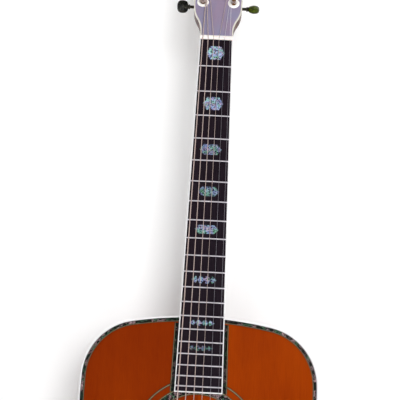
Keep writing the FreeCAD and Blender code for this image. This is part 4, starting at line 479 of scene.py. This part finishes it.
def board_half(z):
    """Half the fretboard's width at a height: 21.45 at the nut, growing by 0.0172 for each millimetre down."""
    return (NUT_WIDTH + (JOINT_WIDTH - NUT_WIDTH) / JOINT_RUN * (NUT_HEIGHT - z)) / 2


def board_edge(side, ends):
    """The fretboard's long edge on one side, between two heights, as a function of the offset outwards."""
    heights = np.array(ends)
    return lambda offset: np.stack([side * (board_half(heights) + offset), heights], -1)


def hair_lines(name, lines, edges, ring):
    """Dark and pale strips let into the top: each lies between two offsets along every one of the edges."""
    for tint, wood in LINE_WOODS.items():
        strips = []
        for edge in edges:
            for near, far, kind in lines:
                if kind == tint:
                    strips.append(laid_strip(edge(near), edge(far), LINE_TOP, LINE_ROOT))
        surface("%s_%s" % (name, tint), strips, wood, ring=ring)


def cells(material, place, scale):
    """A chance value for each of many small cells, about one over the scale in millimetres wide."""
    found = node(material, "TexVoronoi", {"Vector": place, "Scale": scale, "Randomness": 1.0})
    return node(material, "SeparateColor", {0: found.outputs["Color"]}).outputs[0]


def shell_finish(name, cell, streak):
    """Abalone: slips of one tone each from cells of a size in millimetres, with wavy streaks of growth in them."""
    made = finish(name, SHELL_STOPS[0][1], SHELL_GLOSS)
    place = millimetres(made)
    streaks = sharpened(made, noise(made, place, streak, 4, 2.0), 0.3, 0.7)
    share = maths(made, "MULTIPLY", cells(made, place, 1 / cell), SLIPS_SHARE)
    share = maths(made, "MULTIPLY_ADD", streaks, STREAKS_SHARE, share)
    wire(made, "Base Color", ramp(made, share, SHELL_STOPS))
    return made


edge_shell = shell_finish("abalone edge shell", 4.4, 0.4)
edge_slips = base_colour(edge_shell)
# Painted shade beside the raised fretboard and neck: the slips there are multiplied by a grey tint.
board_shaded_slips = mixed(edge_shell, 1.0, edge_slips, BOARD_SHADE_TINT, "MULTIPLY")
board_shade_share = coordinate(edge_shell, millimetres(edge_shell, mirrored=True), "X")
board_shade_share = sharpened(edge_shell, board_shade_share, *BOARD_SHADE_SPAN)
wire(edge_shell, "Base Color", mixed(edge_shell, board_shade_share, board_shaded_slips, edge_slips))
dress(["top_purfling"], edge_shell)
rosette_shell = shell_finish("abalone rosette shell", 3.4, 0.5)
dress(["rosette"], rosette_shell)
hair_lines("edge_lines", EDGE_LINES, [outline], True)
hair_lines("rosette_lines", RING_LINES, [hole_ring(RING_TURN)], True)
hair_lines("fine_ring_lines", FINE_RING_LINES, [hole_ring(FINE_RING_TURN)], False)
board_sides = [board_edge(side, BOARD_SIDE_ENDS) for side in (-1, 1)]
hair_lines("board_side_lines", BOARD_SIDE_LINES, board_sides, False)
ledge = laid_strip(*[outline(inset) for inset in EDGE_LEDGE], LINE_TOP, LINE_ROOT)
surface("soundboard_ledge", [ledge], amber, ring=True)


# Neck. It is one length of mahogany from the heel to the headstock, carved to a round shaft, then stained dark and
# lacquered.
neck_wood = grained_wood("neck mahogany", (92, 40, 24), (50, 19, 12), LACQUER, 5.0, (1, 1, 0.04))
dress(["neck"], neck_wood)


# Fretboard and bridge. They are oiled rosewood, nearly black, with open pores along the grain. The markers are
# abalone mosaics, each from a shell of its own depth of tone; those at the twelfth, fifteenth and seventeenth frets
# are rows of lozenges parted by rosewood notches. A black hair line runs inside the binding on each side.
SCALE_LENGTH = 645.2
BOARD_FACE = -67.3
CROWN_RADIUS = 406.4
OILED = {"Roughness": 0.5, "Specular IOR Level": 0.1}
MARKER_GLOSS = {"Roughness": 0.25, "Specular IOR Level": 0.3}
MARKER_HUES = [
    (0.0, (124, 188, 146)), (0.22, (146, 202, 188)), (0.42, (176, 210, 226)), (0.58, (144, 166, 220)),
    (0.74, (190, 172, 208)), (0.88, (198, 188, 192)), (1.0, (136, 184, 162)),
]
MARKER_SPECKS = [
    (0.0, (34, 38, 46)), (0.17, (58, 60, 74)), (0.22, (150, 152, 160)), (0.5, (200, 200, 206)),
    (0.72, (232, 232, 236)), (0.86, (255, 255, 255)), (1.0, (250, 244, 250)),
]
SPECK_SCALE = 0.85
MARKER_SPAN = (440, 870)
MARKER_DEPTHS = [
    (0.067, (162, 162, 162)), (0.14, (240, 240, 240)), (0.263, (238, 238, 238)), (0.407, (222, 222, 222)),
    (0.521, (194, 194, 194)), (0.647, (203, 203, 203)), (0.788, (239, 239, 239)), (0.947, (255, 255, 255)),
]
NOTCHED = {12: (0.58, 0.45), 15: (0.56, 0.40), 17: (0.55, 0.42)}  # the marker's width and height as shares
NOTCH_SPREADS = np.array([0.13, 0.09, 0.03])
NOTCH_REACHES = np.array([1.02, 0.55, 0.25])
NOTCH_PROUD = 0.06
NOTCH_ROOT = BOARD_FACE + 1.0
BINDING_LINE = (-1.55, -1.2)
BINDING_LINE_ENDS = (BOARD_END + 1.3, NUT_HEIGHT)
SIDE_DOTS = {3: 1, 5: 1, 7: 1, 9: 1, 12: 2, 15: 1, 17: 1}
SIDE_DOT_RADIUS = 1.1
SIDE_DOT_DEPTH = -64.4
SIDE_DOT_APART = 4


def fret_place(number):
    """A fret's height: each step up the neck leaves the string two to the minus one twelfth as long."""
    return NUT_HEIGHT - SCALE_LENGTH * (1 - 2 ** (-number / 12))


def crowned(x):
    """The fretboard's face at a place across it: it falls by x squared over twice the crown's radius."""
    return BOARD_FACE + x**2 / (2 * CROWN_RADIUS)


def marker_notches(number, width_share, height_share):
    """The six notches of a lozenge row: pairs from above and below at its middle and at half its width each side,
    narrowing from a wide mouth to a point between two lozenges."""
    low, high = fret_place(number), fret_place(number - 1)
    middle = (low + high) / 2
    wide = board_half(middle) * width_share
    tall = (high - low) * height_share / 2
    cuts = []
    for centre in (-wide / 2, 0.0, wide / 2):
        for way in (-1, 1):
            heights = middle + way * tall * NOTCH_REACHES
            left, right = [np.stack([centre + side * wide * NOTCH_SPREADS, heights], -1) for side in (-1, 1)]
            cuts.append(laid_strip(left, right, crowned(centre) - NOTCH_PROUD, NOTCH_ROOT))
    return cuts


def side_dot(height):
    """A dot let into the board's bass side: two rims of x = edge, depth and height on a circle of the dot's radius,
    one 0.4 mm in and one 0.03 mm proud."""
    turn = np.radians(np.arange(0, 360, 20))
    edge = np.full(len(turn), -board_half(height))
    depth = SIDE_DOT_DEPTH + SIDE_DOT_RADIUS * np.cos(turn)
    rim = np.stack([edge, depth, height + SIDE_DOT_RADIUS * np.sin(turn)], -1)
    return np.stack([rim + (0.4, 0, 0), rim - (0.03, 0, 0)])


board_wood = grained_wood("fretboard rosewood", (36, 25, 33), (13, 9, 17), OILED, 2.2, (1, 1, 0.04), depth=0.02)
dress(["fingerboard", "bridge"], board_wood)
marker_shell = finish("abalone marker shell", (130, 150, 170), MARKER_GLOSS)
marker_place = millimetres(marker_shell)
marker_hue = sharpened(marker_shell, noise(marker_shell, marker_place, 0.13, 2, 1.2), 0.32, 0.68)
marker_hue = ramp(marker_shell, marker_hue, MARKER_HUES)
marker_speck = ramp(marker_shell, cells(marker_shell, marker_place, SPECK_SCALE), MARKER_SPECKS)
marker_mosaic = mixed(marker_shell, 1.0, marker_hue, marker_speck, "MULTIPLY")
marker_depth = sharpened(marker_shell, coordinate(marker_shell, marker_place, "Z"), *MARKER_SPAN)
marker_depth = ramp(marker_shell, marker_depth, MARKER_DEPTHS)
wire(marker_shell, "Base Color", mixed(marker_shell, 1.0, marker_mosaic, marker_depth, "MULTIPLY"))
dress(["fret_markers"], marker_shell)
notches = []
for number, shares in NOTCHED.items():
    notches += marker_notches(number, *shares)
surface("marker_notches", notches, board_wood)
binding_lines = []
for side in (-1, 1):
    outer, inner = [board_edge(side, BINDING_LINE_ENDS)(offset) for offset in BINDING_LINE]
    line_face = crowned(outer[:, 0])
    binding_lines.append(laid_strip(outer, inner, line_face - 0.02, line_face + 0.5))
surface("board_binding_lines", binding_lines, line_black)
side_dots = []
for number, count in SIDE_DOTS.items():
    middle = (fret_place(number) + fret_place(number - 1)) / 2
    for height in ([middle] if count == 1 else [middle - SIDE_DOT_APART, middle + SIDE_DOT_APART]):
        side_dots.append(side_dot(height))
surface("side_dots", side_dots, line_black)


# Frets, nut and saddle. The frets are half-round nickel silver wire, bent to the board's crown and bevelled at
# their ends; the nut and saddle are bone.
FRET_COUNT = 20
FRET_HALF_WIDTH = 0.78
FRET_HEIGHT = 1.1
FRET_ROOT = 0.4
FRET_BEVEL = 0.9
FRET_END_HEIGHT = 0.25
FRET_END_GAP = 0.06
BONE_GLOSS = {"Roughness": 0.3, "Subsurface Weight": 0.1, "Subsurface Scale": 0.001}


def fret_wire(number):
    """A fret: across the board at x its section is half an ellipse on the crown, depth = crown less height times
    the sine and height along the neck = place plus half width times the cosine; the height falls at the ends."""
    wide = board_half(fret_place(number)) - FRET_END_GAP
    x = np.concatenate([[-wide], np.linspace(FRET_BEVEL - wide, wide - FRET_BEVEL, 12), [wide]])
    tall = np.concatenate([[FRET_END_HEIGHT], np.full(12, FRET_HEIGHT), [FRET_END_HEIGHT]])
    angle = np.linspace(0, math.pi, 13)
    depth = crowned(x)[:, None] - tall[:, None] * np.sin(angle)
    across = np.broadcast_to(x[:, None], depth.shape)
    height = np.broadcast_to(fret_place(number) + FRET_HALF_WIDTH * np.cos(angle), depth.shape)
    crown = np.stack([across, depth, height], -1)
    root = crown[:, [-1, 0]] + (0, FRET_ROOT, 0)
    return np.concatenate([crown, root], axis=1)


nickel = mottled("nickel silver", (238, 234, 240), (206, 200, 208), {"Metallic": 0.4, "Roughness": 0.35}, 0.4)
fret_wires = [fret_wire(number) for number in range(1, FRET_COUNT + 1)]
fret_set = surface("fret_wires", fret_wires, nickel, sharp=60)
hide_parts("frets")
bone = mottled("bone", (250, 244, 242), (232, 222, 216), BONE_GLOSS, 0.8, stretch=(0.08, 1, 1))
dress(["nut", "saddle"], bone)


# Headstock face. A grey lilac veneer covers the front of the headstock. It is polished, with hardly any grain, and
# shades slowly from pink to blue.
veneer = grained_wood("grey lilac veneer", (153, 142, 164), (130, 121, 144), LACQUER, 1.4, (1, 1, 0.08))
clouded(veneer, (1, 1, 0.4), 0.05, (0.35, 0.65), (255, 244, 244), (240, 250, 255))
dress(["headstock_veneer"], veneer)


# Tuners. Posts stand in front through bushings with nickel washers, painted near white as a painted reflection of
# the white studio; closed gilt gear cases, each with a cover screw, sit behind; cast oval buttons on dark shafts
# turn the worms. The buttons are one olive cast, painted near black on the bass side as painted shade. The posts'
# slots and string holes and the screws' slots are thin dark pieces: painted shade in those recesses.
HEAD_ORIGIN = (0.0, -62.0, 871.796)
HEAD_TILT = math.radians(15)
HEAD_HALF_WIDTH, HEAD_WAIST, HEAD_FLARE = 32.2, 50, 4.3 / 130
POST_INSET = 11.8
POSTS = {6: (-1, 56.0), 5: (-1, 97.0), 4: (-1, 138.0), 3: (1, 138.0), 2: (1, 97.0), 1: (1, 56.0)}
POST_PROFILE = [
    (0, -23.1), (5.3, -23.1), (5.3, -19.9), (3.0, -19.9), (3.0, 5.4), (2.72, 6.4), (2.72, 8.6), (3.0, 9.8),
    (3.0, 10.9), (2.7, 11.3), (2.1, 11.5), (0, 11.5),
]
POST_SLOT = [(0.5, 2.2, 0.3, -11.53), (0.5, 2.2, 0.3, -11.0)]
MOUTH_PROFILE = [(0, 2.62), (0.95, 2.62), (0.95, 2.8), (0, 2.8)]
MOUTH_DEPTH = -7.4
BUSHING_PROFILE = [
    (3.05, -9.0), (4.9, -9.0), (4.9, 0.0), (7.8, 0.0), (7.8, 0.5), (7.5, 0.85), (6.4, 1.1), (5.9, 1.55), (5.2, 1.6),
    (4.4, 1.3), (3.9, 0.2), (3.05, 0.1),
]
CASE_SECTIONS = [
    (7.5, 10.5, 2.0, 16.5), (7.5, 10.5, 2.0, 25.0), (7.2, 10.2, 2.0, 26.4), (6.3, 9.3, 2.0, 27.4),
    (4.8, 7.8, 2.0, 27.8),
]
CASE_RISE = 3.5
COLLAR_PROFILE = [(0, 7.0), (3.3, 7.0), (3.3, 9.3), (2.9, 9.7), (2.05, 9.7), (0, 9.7)]
SCREW_PROFILE = [(0, 27.451), (2.6, 27.451), (2.6, 28.033), (2.2, 28.421), (0, 28.421)]
SCREW_SLOT = [(0.35, 1.9, 0.2, 28.3), (0.35, 1.9, 0.2, 28.45)]
WORM_DEPTH = 21.5
WORM_OFFSET = 8.5
SHAFT_PROFILE = [
    (0, -4), (2.8, -4), (2.8, 4), (2.0, 4), (2.0, 17.6), (2.6, 18.0), (3.3, 18.2), (3.3, 19.4), (2.7, 19.9),
    (3.1, 20.6), (3.1, 21.6), (2.6, 22.4), (0, 22.4),
]
BUTTON_TURNS = {6: -39.0, 5: 35.0, 4: -20.0, 3: 15.0, 2: -40.0, 1: -24.0}
GRIP_HALVES = (8.6, 4.1, 7.65)
GRIP_MIDDLE = 28.1
WAIST_PLACE, WAIST_WIDTH, WAIST_CUT = 23.5, 2.5, 0.22
GILT = {"Metallic": 1.0, "Roughness": 0.22}
BUTTON_GLOSS = {"Roughness": 0.25, "Specular IOR Level": 0.3}
# Painted light: the bass side's buttons are a shaded, near black copy of the same olive cast as the treble side's
# lit ones.
BUTTON_SHADED_AND_LIT_TINTS = {
    -1: ("shaded olive button", [(0.36, (8, 8, 7)), (0.52, (24, 24, 19)), (0.66, (58, 58, 48))]),
    1: ("lit olive button", [(0.36, (34, 40, 4)), (0.5, (54, 64, 5)), (0.64, (74, 88, 8))]),
}


def head_points(grid):
    """Points of the headstock's own frame, tipped back by its tilt about X and set on the nut's back edge."""
    x, y, z = grid[..., 0], grid[..., 1], grid[..., 2]
    cosine, sine = math.cos(HEAD_TILT), math.sin(HEAD_TILT)
    tipped = np.stack([x, y * cosine + z * sine, z * cosine - y * sine], -1)
    return tipped + HEAD_ORIGIN


def post_spot(number):
    """A post's place on the headstock's face: 11.8 mm in from its edge, which widens from 32.2 by 4.3 over 130."""
    side, height = POSTS[number]
    return np.array([side * (HEAD_HALF_WIDTH + HEAD_FLARE * (height - HEAD_WAIST) - POST_INSET), 0, height])


def lathe(profile, sides=40):
    """A profile of (radius, height) turned about Z: x = radius cos a, y = radius sin a, z = height."""
    radius, height = np.array(profile, float).T
    angle = np.linspace(0, 2 * math.pi, sides, endpoint=False)
    x = radius[:, None] * np.cos(angle)
    y = radius[:, None] * np.sin(angle)
    return np.stack([x, y, np.broadcast_to(height[:, None], x.shape)], -1)


def inward(grid):
    """A turned grid with its Z axis laid along the depth, into the guitar."""
    return np.stack([grid[..., 0], grid[..., 2], grid[..., 1]], -1)


def rounded_box(sections, corner_steps=6):
    """A box from sections (half width, half length, corner radius, depth): each row goes round a rectangle whose
    corners are quarter circles of the corner radius."""
    rows = []
    quarter_turn = np.radians(np.linspace(0, 90, corner_steps))
    for half_width, half_length, radius, depth in sections:
        row = []
        for quarter, (right, up) in enumerate([(1, 1), (-1, 1), (-1, -1), (1, -1)]):
            angle = quarter_turn + quarter * math.pi / 2
            x = right * (half_width - radius) + radius * np.cos(angle)
            z = up * (half_length - radius) + radius * np.sin(angle)
            row.append(np.stack([x, np.full(corner_steps, depth), z], -1))
        rows.append(np.concatenate(row))
    return np.stack(rows)


def post_mouth_shade(way):
    """Painted shade in the mouth of the post's string hole on one side: a thin dark disc turned about X at the
    hole's depth.
    """
    disc = lathe(MOUTH_PROFILE, 20)
    return np.stack([way * disc[..., 2], disc[..., 1], disc[..., 0]], -1) + (0, MOUTH_DEPTH, 0)


def button_grip():
    """The oval grip: x = half height, y = half thickness and z = half length times powers of the cosines and sines
    of two angles, so that its sides are fuller than an ellipsoid's; a bell curve narrows its thickness at a waist
    near the shaft."""
    up = np.linspace(-math.pi / 2, math.pi / 2, 25)[:, None]
    round_angle = np.linspace(0, 2 * math.pi, 48, endpoint=False)[None, :]
    ring = np.abs(np.cos(up)) ** 0.72
    x = GRIP_HALVES[0] * ring * np.sign(np.cos(round_angle)) * np.abs(np.cos(round_angle)) ** 0.85
    y = GRIP_HALVES[1] * ring * np.sign(np.sin(round_angle)) * np.abs(np.sin(round_angle)) ** 0.85
    z = GRIP_MIDDLE + GRIP_HALVES[2] * np.sign(np.sin(up)) * np.abs(np.sin(up)) ** 0.8
    waist = 1 - WAIST_CUT * np.exp(-(((z - WAIST_PLACE) / WAIST_WIDTH) ** 2))
    return np.stack([x, y * waist, np.broadcast_to(z, x.shape)], -1)


def on_shaft(grid, number):
    """A grid about the button's shaft: turned about it, then laid out sideways from the post to its side."""
    side = POSTS[number][0]
    angle = math.radians(BUTTON_TURNS[number])
    x = grid[..., 0] * math.cos(angle) - grid[..., 1] * math.sin(angle)
    y = grid[..., 0] * math.sin(angle) + grid[..., 1] * math.cos(angle)
    laid = np.stack([side * grid[..., 2], y, -side * x], -1)
    return head_points(laid + post_spot(number) + (0, WORM_DEPTH, WORM_OFFSET))


gold = mottled("gold plate", (214, 180, 116), (178, 138, 78), GILT, 0.5)
# Painted reflection: the polished nickel washers are a near white, not metallic, as the white studio they would
# mirror.
washer_reflection_white = mottled("washer nickel painted white as reflection", (255, 253, 251), (240, 234, 226), {"Roughness": 0.25}, 0.5)
post_gold = mottled("post gold", (146, 98, 48), (88, 54, 26), {"Metallic": 0.7, "Roughness": 0.3}, 0.6)
# Painted shade: the dark of the post holes and of the post and screw slots, laid as thin dark pieces in the
# recesses.
hole_shade = mottled("painted hole shade", (10, 8, 6), (26, 20, 15), {"Roughness": 0.8}, 1.2, detail=2)
shaft_dark = mottled("dark shaft metal", (74, 70, 60), (40, 36, 30), {"Metallic": 0.9, "Roughness": 0.3}, 0.8)
button_casts = {}
for side, (cast_name, tints) in BUTTON_SHADED_AND_LIT_TINTS.items():
    cast = finish(cast_name, tints[1][1], BUTTON_GLOSS)
    wire(cast, "Base Color", ramp(cast, noise(cast, millimetres(cast), 0.25, 4, 1.0), tints))
    button_casts[side] = cast
bushings, cases, screw_slot_shades = [], [], []
for number, (side, height) in POSTS.items():
    spot = post_spot(number)
    post_body = "tuner_post_%d" % number
    turned_post = head_points(inward(lathe(POST_PROFILE)) * (1, -1, 1) + spot)
    post = surface("string_post_%d" % number, [turned_post], post_gold, post_body)
    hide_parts("tuner_post_%d" % number)
    # Painted shade in the post's top slot and in the mouths of its string hole.
    cuts = [rounded_box(POST_SLOT), post_mouth_shade(1), post_mouth_shade(-1)]
    surface("post_slot_%d" % number, [head_points(cut + spot) for cut in cuts], hole_shade, post_body)
    bushings.append(head_points(inward(lathe(BUSHING_PROFILE + BUSHING_PROFILE[:1])) * (1, -1, 1) + spot))
    cases.append(head_points(rounded_box(CASE_SECTIONS) + spot + (0, 0, CASE_RISE)))
    cases.append(on_shaft(lathe(COLLAR_PROFILE), number))
    cases.append(head_points(inward(lathe(SCREW_PROFILE, 28)) + spot))
    screw_slot_shades.append(head_points(rounded_box(SCREW_SLOT) + spot))
    button_body = "tuner_button_%d" % number
    grip = [on_shaft(button_grip(), number)]
    grip = surface("button_grip_%d" % number, grip, button_casts[side], button_body)
    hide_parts("tuner_button_%d" % number)
    shaft = [on_shaft(lathe(SHAFT_PROFILE), number)]
    surface("button_shaft_%d" % number, shaft, shaft_dark, button_body)
washers = surface("post_bushings", bushings, washer_reflection_white)
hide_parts("tuner_bushings")
gear_cases = surface("gear_cases", cases, gold)
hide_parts("tuner_housings")
surface("screw_slot_shades", screw_slot_shades, hole_shade)


# Strings. The four low ones have a bronze winding on a steel core, its grooves painted darker as painted shade;
# the two high ones are plain steel, painted brighter where it slopes back above the nut as a painted highlight.
WINDING_PITCH = 0.3
WINDING_DEPTH = 0.03
SLOPE_HIGHLIGHT_SPAN = (NUT_HEIGHT + 1, NUT_HEIGHT + 4)
bronze = finish("bronze winding", (214, 196, 190), {"Metallic": 0.5, "Roughness": 0.4})
winding = {"Vector": millimetres(bronze), "Scale": wave_scale(WINDING_PITCH)}
turns = node(bronze, "TexWave", winding, bands_direction="Z").outputs["Fac"]
# Painted shade: the grooves between the winding's turns are darker and the crests lighter, beside the real bumps.
wire(bronze, "Base Color", mixed(bronze, turns, (164, 138, 128), (232, 214, 208)))
roughened(bronze, turns, WINDING_DEPTH)
dress(["wound_strings"], bronze)
steel = mottled("string steel", (186, 182, 190), (146, 142, 150), {"Metallic": 0.6, "Roughness": 0.3}, 0.3)
# Painted highlight on the plain strings above the nut, where they slope back and would catch the lamp.
slope_highlight = sharpened(steel, coordinate(steel, millimetres(steel), "Z"), *SLOPE_HIGHLIGHT_SPAN)
wire(steel, "Base Color", mixed(steel, slope_highlight, base_colour(steel), (250, 248, 250)))
dress(["plain_strings", "battery_clip"], steel)


# Bridge pins, pickguard, electrics and strap buttons. The pins are turned black plastic with an ivory dot let into
# each head; the guard is thin black plastic glued on the top.
PIN_PLACES = [-27.5 + 11 * place for place in range(6)]
PIN_HEIGHT = 202.1
PIN_DOT_PROFILE = [(0, -73.0), (1.15, -73.0), (1.15, -73.6), (1.0, -73.66), (0, -73.66)]
BLACK_GLOSS = {"Roughness": 0.25, "Specular IOR Level": 0.12}
MOULD_GRAIN = 2.0
MOULD_DEPTH = 0.02
gloss_black = mottled("black plastic", (16, 15, 16), (34, 30, 31), BLACK_GLOSS, 0.1)
dress(["bridge_pins", "pickguard", "lead_clips", "end_button"], gloss_black)
pin_dot = inward(lathe(PIN_DOT_PROFILE, 20))
surface("pin_dots", [pin_dot + (x, 0, PIN_HEIGHT) for x in PIN_PLACES], ivory)
matt_black = mottled("matt black plastic", (24, 24, 26), (40, 40, 42), {"Roughness": 0.6}, MOULD_GRAIN)
roughened(matt_black, noise(matt_black, millimetres(matt_black), MOULD_GRAIN), MOULD_DEPTH)
dress(["preamp_housing", "volume_wheel", "tone_wheel", "battery", "internal_leads"], matt_black)
bright = mottled("bright nickel", (210, 210, 214), (176, 176, 180), {"Metallic": 1.0, "Roughness": 0.15}, 0.3)
dress(["truss_rod", "truss_rod_nut", "pickup_strip", "end_jack", "strap_button"], bright)
